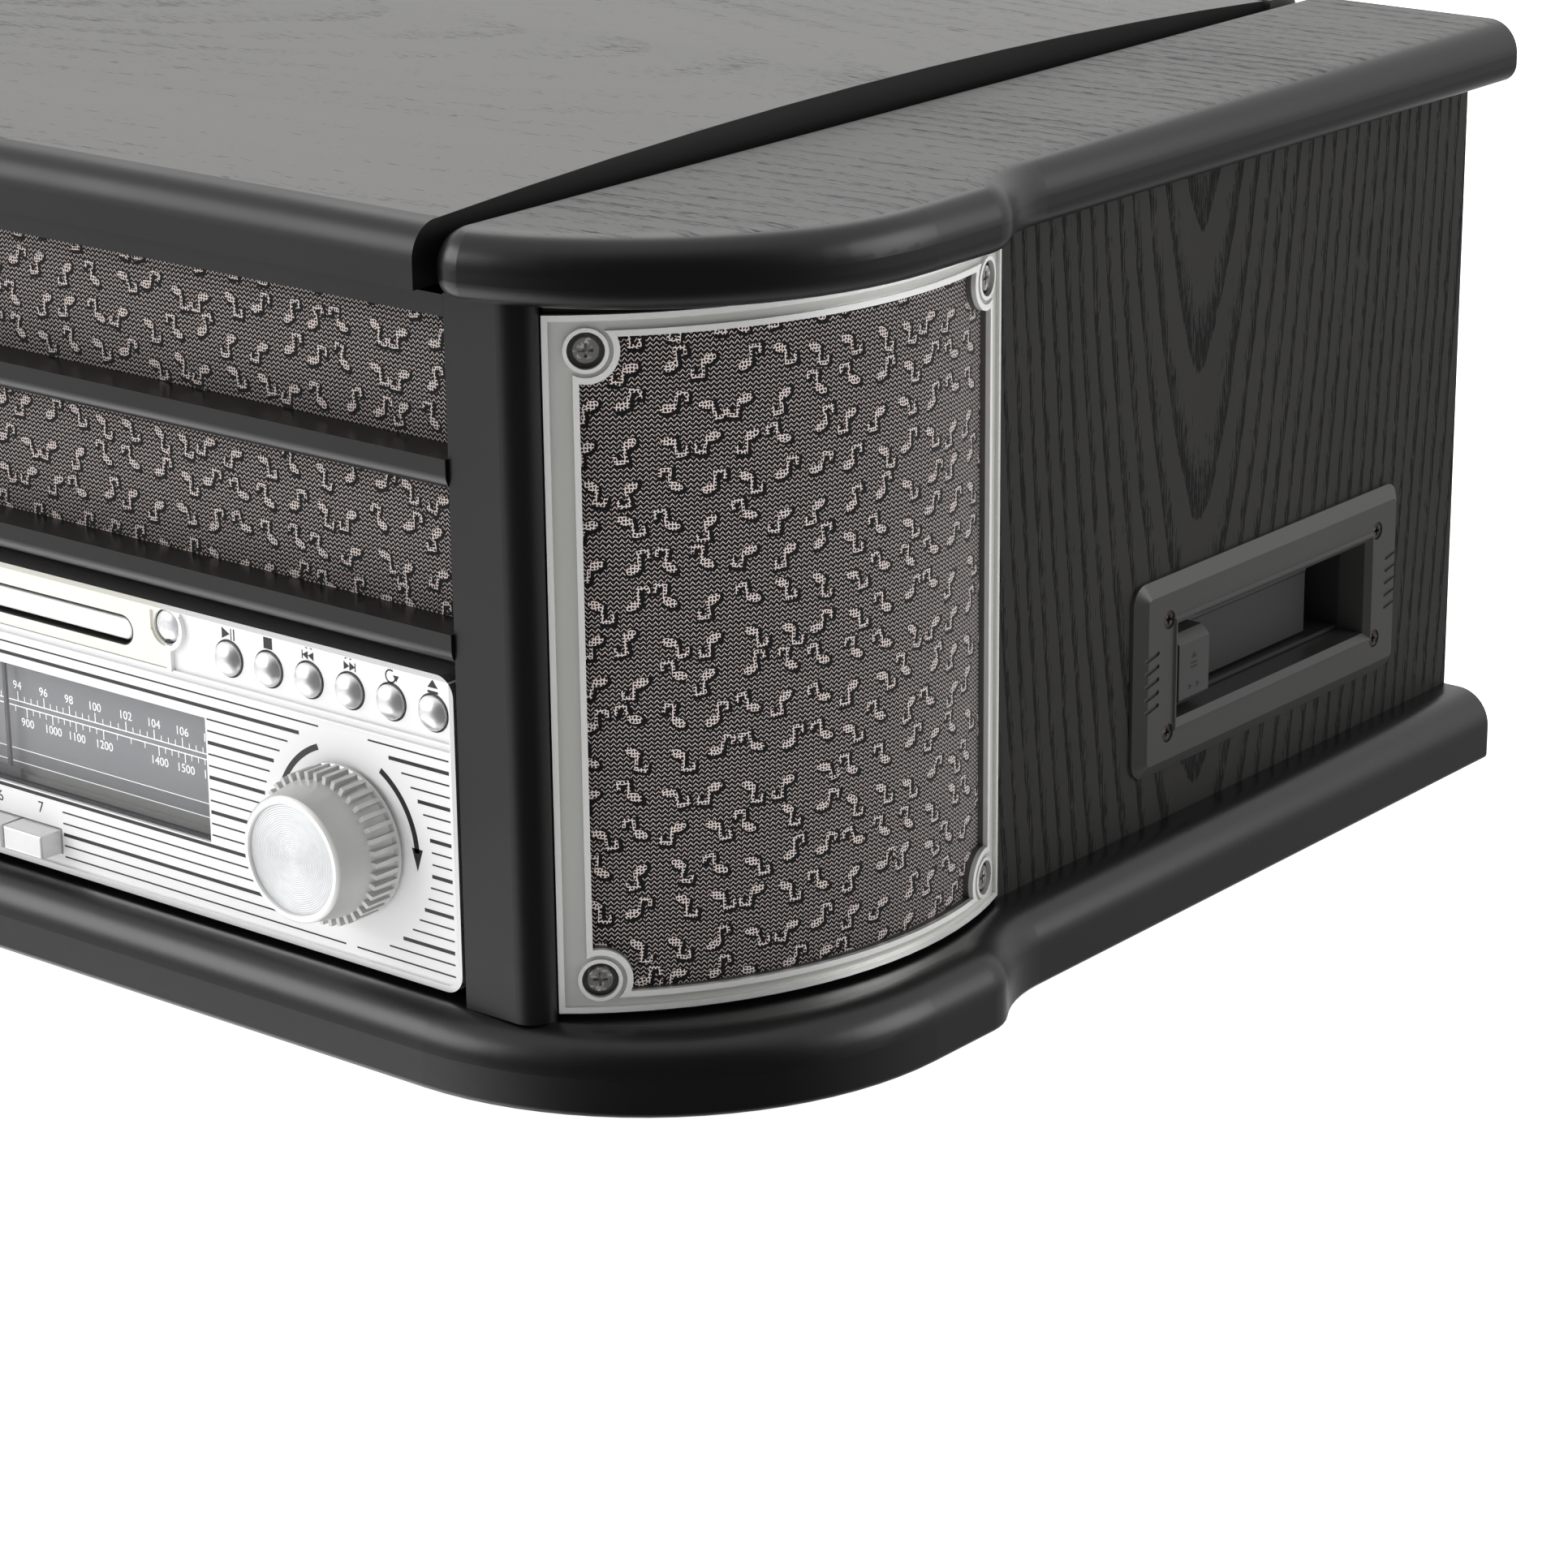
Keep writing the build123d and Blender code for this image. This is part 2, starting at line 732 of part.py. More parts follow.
with BuildPart() as front_frame:
    add(stile_right.part)
    mirror(about=Plane.YZ)
    with BuildSketch(Plane.YZ.offset(joint_gap - stile_inner)):
        with BuildLine():
            Polyline((back(top_rail_depth), top_rail_z), (stile_face_y, top_rail_z),
                     (stile_face_y, top_rail_z + top_rail_height),
                     (back(top_rail_depth), top_rail_z + top_rail_height), close=True)
        make_face()
    extrude(amount=2 * (stile_inner - joint_gap))
    for level in slat_levels:
        with BuildSketch(Plane.YZ.offset(joint_gap - stile_inner)) as slat_profile:
            slat_depth = cloth_depth + slat_proud
            with Locations((back(cloth_depth) - slat_depth / 2, level + slat_height / 2)):
                Rectangle(slat_depth, slat_height)
            fillet(slat_profile.vertices().group_by(Axis.Y)[0], radius=slat_height * slat_roundness)
        extrude(amount=2 * (stile_inner - joint_gap))
front_frame.part.label = "front_frame"
export_step(front_frame.part, "parts/front_frame.step")

with BuildPart() as grille_cloth:
    cloth_top = top_rail_z
    cloth_bottom = fascia_top + fitting_gap
    with BuildSketch(Plane.XZ.offset(-back(cloth_depth))):
        with Locations((0, (cloth_top + cloth_bottom) / 2)):
            Rectangle(2 * stile_inner, cloth_top - cloth_bottom)
    extrude(amount=-cloth_board)
grille_cloth.part.label = "grille_cloth"
export_step(grille_cloth.part, "parts/grille_cloth.step")

# ----------------------------------------------------------------------------------------
# Loudspeakers
# ----------------------------------------------------------------------------------------

frame_z = floor_z + frame_sill
frame_inner = frame_radius - frame_thickness
baffle_inner = frame_inner - baffle_thickness
bow_middle = (frame_start + frame_end) / 2
bow_mid_z = floor_z + body_height / 2
screw_angle = degrees(frame_screw_in / frame_radius)
border_angle = degrees(frame_side_border / frame_radius)
frame_screws = [
    (angle, level)
    for angle in (frame_start + screw_angle, frame_end - screw_angle)
    for level in (frame_z + frame_screw_up, frame_z + frame_height - frame_screw_up)
]


def radial_plane(angle, level, radius):
    """Plane facing outwards from the right bow's axis."""
    x, y = bow_point(radius, angle)
    return Plane(origin=(x, y, level), z_dir=(cos(radians(angle)), sin(radians(angle)), 0))


frame_windows = []
for grow in (0, frame_bead):
    turn_out = degrees(grow / frame_radius)
    with BuildPart() as frame_window:
        with BuildSketch(Plane.XY.offset(frame_z + frame_end_border - grow)):
            add(bow_sector(frame_inner - cut_reach, frame_radius + cut_reach,
                           frame_start + border_angle - turn_out, frame_end - border_angle + turn_out))
        extrude(amount=frame_height - 2 * frame_end_border + 2 * grow)
        for angle, level in frame_screws:
            with BuildSketch(radial_plane(angle, level, frame_inner - 2 * cut_reach)):
                Circle(frame_boss - grow)
            extrude(amount=frame_thickness + 4 * cut_reach, mode=Mode.SUBTRACT)
    frame_windows.append(frame_window.part)

with BuildPart() as frame_hollow:
    edge_angle = degrees(frame_bead / frame_radius)
    with BuildSketch(Plane.XY.offset(frame_z + frame_bead)):
        add(bow_sector(frame_radius - frame_bead_height, frame_radius + cut_reach,
                       frame_start + edge_angle, frame_end - edge_angle))
    extrude(amount=frame_height - 2 * frame_bead)
    add(frame_windows[1], mode=Mode.SUBTRACT)
    for angle, level in frame_screws:
        with BuildSketch(radial_plane(angle, level, frame_inner - 2 * cut_reach)):
            Circle(frame_cup + frame_cup_wall)
        extrude(amount=frame_thickness + 4 * cut_reach, mode=Mode.SUBTRACT)

with BuildPart() as frame_right:
    with BuildSketch(Plane.XY.offset(frame_z)):
        add(bow_sector(frame_inner, frame_radius, frame_start, frame_end))
    extrude(amount=frame_height)
    add(frame_windows[0], mode=Mode.SUBTRACT)
    add(frame_hollow.part, mode=Mode.SUBTRACT)
    for angle, level in frame_screws:
        with BuildSketch(radial_plane(angle, level, frame_inner - 2 * cut_reach)):
            Circle(frame_hole)
        extrude(amount=frame_thickness + 4 * cut_reach, mode=Mode.SUBTRACT)
        with BuildSketch(radial_plane(angle, level, frame_radius - screw_sink)):
            Circle(frame_cup)
        extrude(amount=screw_sink + cut_reach, mode=Mode.SUBTRACT)

with BuildPart() as speaker_frames:
    add(frame_right.part)
    mirror(about=Plane.YZ)
speaker_frames.part.label = "speaker_frames"
export_step(speaker_frames.part, "parts/speaker_frames.step")

driver_plane_radius = sqrt(baffle_inner ** 2 - driver_radius ** 2) - sheet_gap
driver_ring = driver_radius + driver_wall
ring_depth = sqrt(frame_inner ** 2 - driver_ring ** 2) - driver_wall - driver_plane_radius

with BuildPart() as baffle_right:
    with BuildSketch(Plane.XY.offset(floor_z)):
        add(bow_sector(baffle_inner, frame_inner, frame_start + baffle_turn, frame_end - baffle_turn))
    extrude(amount=body_height)
    with BuildSketch(radial_plane(bow_middle, bow_mid_z, driver_plane_radius)):
        Circle(driver_ring)
    extrude(amount=ring_depth)
    with BuildSketch(radial_plane(bow_middle, bow_mid_z, driver_plane_radius - cut_reach)):
        Circle(driver_radius - driver_lip)
    extrude(amount=frame_inner - driver_plane_radius + 2 * cut_reach, mode=Mode.SUBTRACT)

with BuildPart() as speaker_baffles:
    add(baffle_right.part)
    mirror(about=Plane.YZ)
speaker_baffles.part.label = "speaker_baffles"
export_step(speaker_baffles.part, "parts/speaker_baffles.step")

with BuildPart() as driver_right:
    driver_face = radial_plane(bow_middle, bow_mid_z, driver_plane_radius)
    with BuildSketch(Plane(origin=driver_face.origin, x_dir=driver_face.z_dir, z_dir=(0, 0, 1))):
        with BuildLine():
            Polyline((-driver_plate, driver_radius - driver_rim), (0, driver_radius - driver_rim),
                     (0, driver_radius), (-driver_plate, driver_radius),
                     (-driver_plate - basket_wall / 2, driver_radius - driver_lip),
                     (magnet_height - driver_depth, magnet_radius + basket_wall),
                     (magnet_height - driver_depth, magnet_radius), (-driver_depth, magnet_radius),
                     (-driver_depth, 0), (-cap_depth, 0), (cap_dip - cap_depth, cap_radius),
                     (-cone_depth, cap_radius + basket_wall), close=True)
        make_face()
    revolve(axis=Axis(driver_face.origin, driver_face.z_dir))

with BuildPart() as speaker_drivers:
    add(driver_right.part)
    mirror(about=Plane.YZ)
speaker_drivers.part.label = "speaker_drivers"
export_step(speaker_drivers.part, "parts/speaker_drivers.step")

# ----------------------------------------------------------------------------------------
# Cassette recorder in the right side
# ----------------------------------------------------------------------------------------

bezel_screw_y = bezel_length / 2 - bezel_screw_in
mouth_length = slot_width + mouth_extra_length
mouth_height = slot_height + mouth_extra_height

with BuildPart() as cassette_bezel:
    with BuildSketch(Plane.YZ.offset(panel_outer)) as bezel_outline:
        with Locations((bezel_middle_y, bezel_middle_z)):
            RectangleRounded(bezel_length, bezel_height, bezel_corner)
    extrude(amount=bezel_proud)
    chamfer(cassette_bezel.faces().sort_by(Axis.X)[-1].edges(),
            length=bezel_slope_depth, length2=bezel_slope_width)
    with BuildSketch(Plane.YZ.offset(panel_outer + bezel_proud)):
        with Locations((bezel_middle_y, bezel_middle_z)):
            Rectangle(mouth_length + 2 * mouth_rim, mouth_height + 2 * mouth_rim)
    extrude(amount=mouth_rim_height, taper=mouth_rim_taper)
    with BuildSketch(Plane.YZ.offset(panel_outer)):
        with Locations((bezel_middle_y, bezel_middle_z)):
            Rectangle(sleeve_length, sleeve_height)
    extrude(amount=-panel_thickness)
    with BuildSketch(Plane.YZ.offset(panel_inner - cut_reach)):
        with Locations((bezel_middle_y, bezel_middle_z)):
            Rectangle(mouth_length, mouth_height)
    extrude(amount=panel_thickness + bezel_proud + 2 * cut_reach, mode=Mode.SUBTRACT)
    mouth_edges = cassette_bezel.edges().filter_by(
        lambda e: abs(e.center().X - panel_outer - bezel_proud - mouth_rim_height) < same
        and abs(e.center().Y - bezel_middle_y) < mouth_length / 2 + same
        and abs(e.center().Z - bezel_middle_z) < mouth_height / 2 + same)
    chamfer(mouth_edges, length=mouth_bevel)
    with BuildSketch(Plane.YZ.offset(panel_outer + bezel_proud)):
        with Locations((bezel_middle_y, bezel_middle_z)):
            with GridLocations(2 * bezel_screw_y, 2 * bezel_screw_z, 2, 2):
                Circle(bezel_cup)
    extrude(amount=-bezel_cup_depth, mode=Mode.SUBTRACT)
    for side in (-1, 1):
        for row in range(bezel_ribs):
            rib_y = bezel_middle_y + side * (bezel_length / 2 - bezel_rib_inset)
            rib_z = bezel_middle_z + bezel_rib_pitch * (row - (bezel_ribs - 1) / 2)
            with BuildSketch(Plane.YZ.offset(panel_outer + bezel_proud)):
                with Locations((rib_y, rib_z)):
                    SlotOverall(bezel_rib_length, bezel_rib_width, rotation=bezel_rib_lean)
            extrude(amount=-bezel_rib_depth, mode=Mode.SUBTRACT)
cassette_bezel.part.label = "cassette_bezel"
export_step(cassette_bezel.part, "parts/cassette_bezel.step")

with BuildPart() as trim_screws:
    for angle, level in frame_screws:
        with BuildSketch(radial_plane(angle, level, frame_radius - screw_sink)):
            Circle(screw_head)
        extrude(amount=screw_head_height, taper=screw_head_taper)
        with BuildSketch(radial_plane(angle, level, frame_radius - screw_sink)):
            Circle(screw_shank)
        extrude(amount=-(frame_thickness - screw_sink))
        with BuildSketch(radial_plane(angle, level, frame_radius - screw_sink + screw_head_height)):
            Rectangle(screw_head, cross_width)
            Rectangle(cross_width, screw_head)
        extrude(amount=-cross_depth, mode=Mode.SUBTRACT)
    mirror(about=Plane.YZ)
    with BuildSketch(Plane.YZ.offset(panel_outer + bezel_proud - bezel_cup_depth)):
        with Locations((bezel_middle_y, bezel_middle_z)):
            with GridLocations(2 * bezel_screw_y, 2 * bezel_screw_z, 2, 2):
                Circle(bezel_screw_head)
    extrude(amount=bezel_cup_depth - sheet_gap)
    with BuildSketch(Plane.YZ.offset(panel_outer + bezel_proud - sheet_gap)):
        with Locations((bezel_middle_y, bezel_middle_z)):
            with GridLocations(2 * bezel_screw_y, 2 * bezel_screw_z, 2, 2):
                Rectangle(bezel_screw_head, cross_width)
                Rectangle(cross_width, bezel_screw_head)
    extrude(amount=-cross_depth, mode=Mode.SUBTRACT)
trim_screws.part.label = "trim_screws"
export_step(trim_screws.part, "parts/trim_screws.step")

key_pocket_y = slot_front_y - tape_key_lead
slot_middle_y = slot_front_y + slot_width / 2
slot_middle_z = slot_z + slot_height / 2

with BuildPart() as cassette_mechanism:
    with BuildSketch(Plane.YZ.offset(mech_inner_x)):
        with Locations((bezel_middle_y, bezel_middle_z)):
            Rectangle(mech_length, mech_height)
    extrude(amount=panel_inner - mech_inner_x)
    with BuildSketch(Plane.YZ.offset(panel_inner)):
        with Locations((bezel_middle_y, bezel_middle_z)):
            Rectangle(mouth_length - 2 * sheet_gap, mouth_height - 2 * sheet_gap)
    extrude(amount=mech_face_x - panel_inner)
    with BuildSketch(Plane.YZ.offset(mech_face_x)):
        with Locations((slot_middle_y, slot_middle_z)):
            Rectangle(slot_width, slot_height)
    extrude(amount=-cassette_depth, mode=Mode.SUBTRACT)
    with BuildSketch(Plane.YZ.offset(mech_face_x)):
        with Locations((key_pocket_y + tape_key_width / 2, slot_middle_z)):
            Rectangle(tape_key_width, tape_key_height)
    extrude(amount=-tape_key_depth, mode=Mode.SUBTRACT)
cassette_mechanism.part.label = "cassette_mechanism"
export_step(cassette_mechanism.part, "parts/cassette_mechanism.step")

with BuildPart() as cassette_key:
    with BuildSketch(Plane.YZ.offset(mech_face_x - tape_key_tail)):
        with Locations((key_pocket_y + tape_key_width / 2, slot_middle_z)):
            Rectangle(tape_key_width - 2 * slide_gap, tape_key_height - 2 * slide_gap)
    extrude(amount=mech_sink + tape_key_proud + tape_key_tail)
    chamfer(cassette_key.faces().sort_by(Axis.X)[-1].edges().filter_by(Axis.Y),
            length=tape_key_bevel)
cassette_key.part.label = "cassette_key"
export_step(cassette_key.part, "parts/cassette_key.step")

flap_pin_x = mech_face_x - flap_sink
flap_pin_z = slot_z + slot_height - flap_pin_drop
flap_length = slot_width - flap_short
flap_height = slot_height - flap_clear

with BuildPart() as cassette_flap:
    with BuildSketch(Plane.XZ.offset(-(slot_front_y + sheet_gap))):
        with Locations((flap_pin_x, flap_pin_z)):
            Circle(flap_pin_radius)
        with Locations((flap_pin_x, flap_pin_z - flap_height / 2)):
            Rectangle(flap_sheet, flap_height)
    extrude(amount=-flap_length)
cassette_flap.part.label = "cassette_flap"
export_step(cassette_flap.part, "parts/cassette_flap.step")

# ----------------------------------------------------------------------------------------
# Fascia, dial and controls
# ----------------------------------------------------------------------------------------

dial_z = fascia_z + dial_sill + dial_height / 2
tray_z = fascia_z + tray_level
key_z = fascia_z + key_sill + key_height / 2
knob_x = fascia_half - knob_inset
knob_z = fascia_z + knob_height
button_z = fascia_z + button_height
lens_z = fascia_z + lens_height
button_names = ("play_button", "stop_button", "back_button", "forward_button",
                "repeat_button", "eject_button")
button_xs = [fascia_half - button_edge - button_pitch * place
             for place in reversed(range(len(button_names)))]
key_xs = [key_shift + key_pitch * (place - (key_count - 1) / 2) for place in range(key_count)]
key_row = key_pitch * (key_count - 1) + key_width
fascia_plane = Plane.XZ.offset(-face_y)

with BuildPart() as fascia:
    with BuildSketch(Plane.XZ.offset(-back(fascia_rim_depth))):
        with Locations((0, fascia_z + fascia_height / 2)):
            RectangleRounded(fascia_width, fascia_height, fascia_corner)
            RectangleRounded(fascia_width - 2 * fascia_rim_wall, fascia_height - 2 * fascia_rim_wall,
                             fascia_corner - fascia_rim_wall, mode=Mode.SUBTRACT)
    extrude(amount=fascia_rim_depth)
    with BuildSketch(Plane.XZ.offset(-back(fascia_thickness))):
        with Locations((0, fascia_z + fascia_height / 2)):
            RectangleRounded(fascia_width - 2 * fitting_gap, fascia_height - 2 * fitting_gap,
                             fascia_corner - fitting_gap)
    extrude(amount=fascia_thickness)
    with BuildSketch(fascia_plane):
        with Locations((0, fascia_z + fascia_height / 2)):
            RectangleRounded(fascia_width, fascia_height, fascia_corner)
            RectangleRounded(fascia_width - 2 * rim_bead, fascia_height - 2 * rim_bead,
                             fascia_corner - rim_bead, mode=Mode.SUBTRACT)
        for level in (band_height, band_height - bead_gap):
            with Locations((0, fascia_z + level)):
                Rectangle(fascia_width - 2 * rim_bead, bead_width / 2)
    extrude(amount=bead_proud)
    with BuildSketch(fascia_plane):
        with Locations((0, (fascia_z + band_height + fascia_top) / 2)):
            Rectangle(2 * lens_x, fascia_height - band_height - 2 * fitting_gap)
        with Locations((lens_x, lens_z), (-lens_x, lens_z)):
            Circle(lens_radius + ridge_width)
        with Locations((0, fascia_top + cut_reach)):
            Rectangle(fascia_width, 2 * (cut_reach + rim_bead), mode=Mode.SUBTRACT)
    extrude(amount=trim_proud)
    with BuildSketch(fascia_plane):
        with Locations((lens_x, lens_z), (-lens_x, lens_z)):
            Circle(lens_radius + ridge_width)
            Circle(lens_radius + lens_gap, mode=Mode.SUBTRACT)
        with Locations((lens_x, fascia_top), (-lens_x, fascia_top)):
            Rectangle(2 * (lens_radius + fitting_gap), 2 * ring_open, mode=Mode.SUBTRACT)
        for side in (-1, 1):
            ridge_x = side * (lens_x + ridge_width / 2)
            with Locations((ridge_x, (fascia_z + band_height + lens_z - lens_radius) / 2)):
                Rectangle(ridge_width, lens_z - lens_radius - fascia_z - band_height)
    extrude(amount=ridge_proud)
    with BuildSketch(fascia_plane.offset(ridge_proud)):
        with Locations((lens_x, lens_z), (-lens_x, lens_z)):
            Circle(lens_radius)
    extrude(amount=-(ridge_proud + lens_sink), mode=Mode.SUBTRACT)
    with BuildSketch(Plane.XZ.offset(-back(-cut_reach))):
        with Locations((0, tray_z)):
            SlotOverall(tray_width, tray_height)
        with Locations((0, dial_z)):
            Rectangle(dial_width, dial_height)
        with Locations((key_shift, key_z)):
            Rectangle(key_row + 2 * slide_gap, key_height + 2 * slide_gap)
        with Locations(*[(x, button_z) for x in button_xs]):
            Circle(button_radius + button_gap)
        with Locations((knob_x, knob_z), (-knob_x, knob_z)):
            Circle(shaft_radius + running)
    extrude(amount=-(fascia_thickness + 2 * cut_reach), mode=Mode.SUBTRACT)
fascia.part.label = "fascia"
export_step(fascia.part, "parts/fascia.step")

with BuildPart() as dial_window:
    with BuildSketch(Plane.XZ.offset(-back(fascia_thickness))):
        with Locations((0, dial_z)):
            Rectangle(dial_width - sheet_gap, dial_height - sheet_gap)
    extrude(amount=fascia_thickness - window_sink)
    with BuildSketch(Plane.XZ.offset(-back(fascia_thickness))):
        with Locations((0, dial_z)):
            Rectangle(dial_width + 2 * window_lip, dial_height + 2 * window_lip)
    extrude(amount=-window_lip_sheet)
dial_window.part.label = "dial_window"
export_step(dial_window.part, "parts/dial_window.step")

spacer_x = dial_width / 2 + dial_plate_margin - spacer_width / 2
track_z = dial_z - dial_height / 2 - track_drop

with BuildPart() as dial_plate:
    with BuildSketch(Plane.XZ.offset(-back(dial_plate_depth))):
        with Locations((0, dial_z)):
            Rectangle(dial_width + 2 * dial_plate_margin, dial_height + 2 * window_lip)
    extrude(amount=-dial_plate_sheet)
    for side in (-1, 1):
        with BuildSketch(Plane.XZ.offset(-back(fascia_thickness))):
            with Locations((side * spacer_x, dial_z)):
                Rectangle(spacer_width, dial_height + 2 * window_lip)
        extrude(amount=-(dial_plate_depth - fascia_thickness))
    with BuildSketch(Plane.YZ.offset(-spacer_x)):
        with Locations((back(track_depth), track_z)):
            Rectangle(track_size, track_size)
        with Locations((back(dial_plate_depth - sheet_gap), track_z)):
            Rectangle(track_size, track_size / 2)
    extrude(amount=2 * spacer_x)
dial_plate.part.label = "dial_plate"
export_step(dial_plate.part, "parts/dial_plate.step")

with BuildPart() as dial_pointer:
    with BuildSketch(Plane.XZ.offset(-back(pointer_depth))):
        with Locations((pointer_x, dial_z + pointer_width / 2)):
            Rectangle(pointer_width, dial_height - pointer_width)
        with Locations((pointer_x, dial_z - dial_height / 2 + pointer_foot_height / 4)):
            Rectangle(pointer_foot_width, pointer_foot_height)
    extrude(amount=-pointer_sheet)
dial_pointer.part.label = "dial_pointer"
export_step(dial_pointer.part, "parts/dial_pointer.step")

for name, side in (("tuning_knob", 1), ("volume_knob", -1)):
    with BuildPart() as knob:
        with BuildSketch(Plane.YZ.offset(side * knob_x)):
            with BuildLine():
                Polyline((back(-knob_base), knob_z), (back(-knob_base), knob_z + knob_radius),
                         (back(-knob_base - knob_flange), knob_z + knob_radius),
                         (back(-knob_base - knob_flange - knob_ease), knob_z + knob_radius - rib_stand),
                         (back(-knob_reach + 2 * knob_soft), knob_z + knob_front_radius + knob_soft),
                         (back(-knob_reach), knob_z + knob_front_radius - knob_soft),
                         (back(-knob_reach), knob_z + knob_front_radius - knob_rim),
                         (back(-knob_reach + knob_dish), knob_z + knob_front_radius - knob_rim - knob_soft),
                         (back(-knob_reach + knob_dish), knob_z), close=True)
            make_face()
        revolve(axis=Axis((side * knob_x, 0, knob_z), (0, 1, 0)))
        with BuildSketch(Plane.XZ.offset(-back(-knob_base))):
            with Locations((side * knob_x, knob_z)):
                with PolarLocations(knob_radius - rib_stand - rib_root, knob_ribs):
                    Rectangle(2 * (rib_stand + rib_root), rib_width)
        extrude(amount=rib_length)
        with BuildSketch(Plane.XZ.offset(-back(-knob_base))):
            with Locations((side * knob_x, knob_z)):
                Circle(shaft_radius)
        extrude(amount=-(knob_base + shaft_depth))
    knob.part.label = name
    export_step(knob.part, f"parts/{name}.step")

flange_depth = fascia_thickness + board_gap

for name, x in zip(button_names, button_xs):
    with BuildPart() as button:
        with BuildSketch(Plane.YZ.offset(x)):
            with BuildLine():
                dome = ThreePointArc((back(-button_proud), button_z),
                                     (back(button_rise - button_proud),
                                      button_z + button_radius * dome_share),
                                     (back(-button_rim), button_z + button_radius))
                Polyline(dome @ 1, (back(flange_depth), button_z + button_radius),
                         (back(flange_depth), button_z + button_radius + button_rim),
                         (back(flange_depth + flange_sheet), button_z + button_radius + button_rim),
                         (back(flange_depth + flange_sheet), button_z), dome @ 0)
            make_face()
        revolve(axis=Axis((x, 0, button_z), (0, 1, 0)))
    button.part.label = name
    export_step(button.part, f"parts/{name}.step")

for place, x in enumerate(key_xs):
    with BuildPart() as key:
        with BuildSketch(Plane.XZ.offset(-back(-key_proud))):
            with Locations((x, key_z)):
                Rectangle(key_width, key_height)
        extrude(amount=-(key_proud + flange_depth))
        fillet(key.faces().sort_by(Axis.Y)[0].edges(), radius=key_round)
        with BuildSketch(Plane.XZ.offset(-back(flange_depth))):
            with Locations((x, key_z)):
                Rectangle(key_width, key_height + 2 * key_lip)
        extrude(amount=-flange_sheet)
    key.part.label = f"function_key_{place + 1}"
    export_step(key.part, f"parts/function_key_{place + 1}.step")

# ----------------------------------------------------------------------------------------
# CD drive and electronics
# ----------------------------------------------------------------------------------------

drive_front_y = back(fascia_rim_depth + drive_gap)
drive_width = tray_width + 2 * drive_wall
drive_top = fascia_top - drive_top_gap
drive_bottom = tray_z - tray_height / 2 - drive_wall
tray_plate = tray_height - tray_clear

with BuildPart() as cd_drive:
    drive_length = tray_length + drive_tail
    with BuildSketch(Plane.XZ.offset(-drive_front_y)):
        with Locations((0, (drive_top + drive_bottom) / 2)):
            Rectangle(drive_width, drive_top - drive_bottom)
    extrude(amount=-drive_length)
    with BuildSketch(Plane.XZ.offset(-drive_front_y)):
        with Locations((0, tray_z)):
            Rectangle(tray_width - 2 * tray_rim_gap, tray_height)
    extrude(amount=-(tray_length - fascia_rim_depth), mode=Mode.SUBTRACT)
cd_drive.part.label = "cd_drive"
export_step(cd_drive.part, "parts/cd_drive.step")

disc_y = back(disc_lead + disc_radius)
plate_length = tray_length - tray_short

with BuildPart() as cd_tray:
    with BuildSketch(Plane.XZ.offset(-back(tray_recess))):
        with Locations((0, tray_z)):
            SlotOverall(tray_width - 2 * tray_rim_gap, tray_height - 2 * tray_rim_gap)
    extrude(amount=-tray_face)
    fillet(cd_tray.faces().sort_by(Axis.Y)[0].edges(), radius=tray_round)
    with BuildSketch(Plane.XY.offset(tray_z - tray_plate / 2)):
        with Locations((0, back(tray_recess + tray_face - tray_lap + plate_length / 2))):
            RectangleRounded(tray_width - 2 * tray_side, plate_length, tray_corner)
    extrude(amount=tray_plate)
    with BuildSketch(Plane.XY.offset(tray_z + tray_plate / 2)):
        with Locations((0, disc_y)):
            Circle(disc_radius + tray_rim_gap)
    extrude(amount=-disc_sink, mode=Mode.SUBTRACT)
    with BuildSketch(Plane.XY.offset(tray_z)):
        with Locations((0, disc_y + tray_window_shift)):
            SlotOverall(tray_window_length, tray_window_width, rotation=90)
    extrude(amount=tray_height, both=True, mode=Mode.SUBTRACT)
cd_tray.part.label = "cd_tray"
export_step(cd_tray.part, "parts/cd_tray.step")

board_y = rear_y - board_rear
board_z = floor_z + board_lift
board_top = board_z + board_sheet

with BuildPart() as circuit_board:
    with Locations((board_x, board_y, board_z)):
        Box(board_length, board_width, board_sheet, align=upright)
    with Locations((board_x, board_y, floor_z)):
        with GridLocations(board_length - 2 * post_inset, board_width - 2 * post_inset, 2, 2):
            Cylinder(post_radius, board_lift, align=upright)
    with Locations((board_x - sink_shift, board_y, board_top)):
        Box(*heat_sink, align=upright)
    with Locations((board_x + capacitor_shift, board_y - capacitor_lead, board_top)):
        with GridLocations(capacitor_pitch, 0, 2, 1):
            Cylinder(capacitor_radius, capacitor_height, align=upright)
circuit_board.part.label = "circuit_board"
export_step(circuit_board.part, "parts/circuit_board.step")

transformer_y = rear_y - transformer_rear
coil_z = floor_z + (transformer_core[2] - transformer_coil[2]) / 2

with BuildPart() as transformer:
    with Locations((transformer_x, transformer_y, floor_z)):
        Box(*transformer_foot, align=upright)
        Box(*transformer_core, align=upright)
    with Locations((transformer_x, transformer_y, coil_z)):
        Box(*transformer_coil, align=upright)
transformer.part.label = "transformer"
export_step(transformer.part, "parts/transformer.step")

# ----------------------------------------------------------------------------------------
# Record player
# ----------------------------------------------------------------------------------------

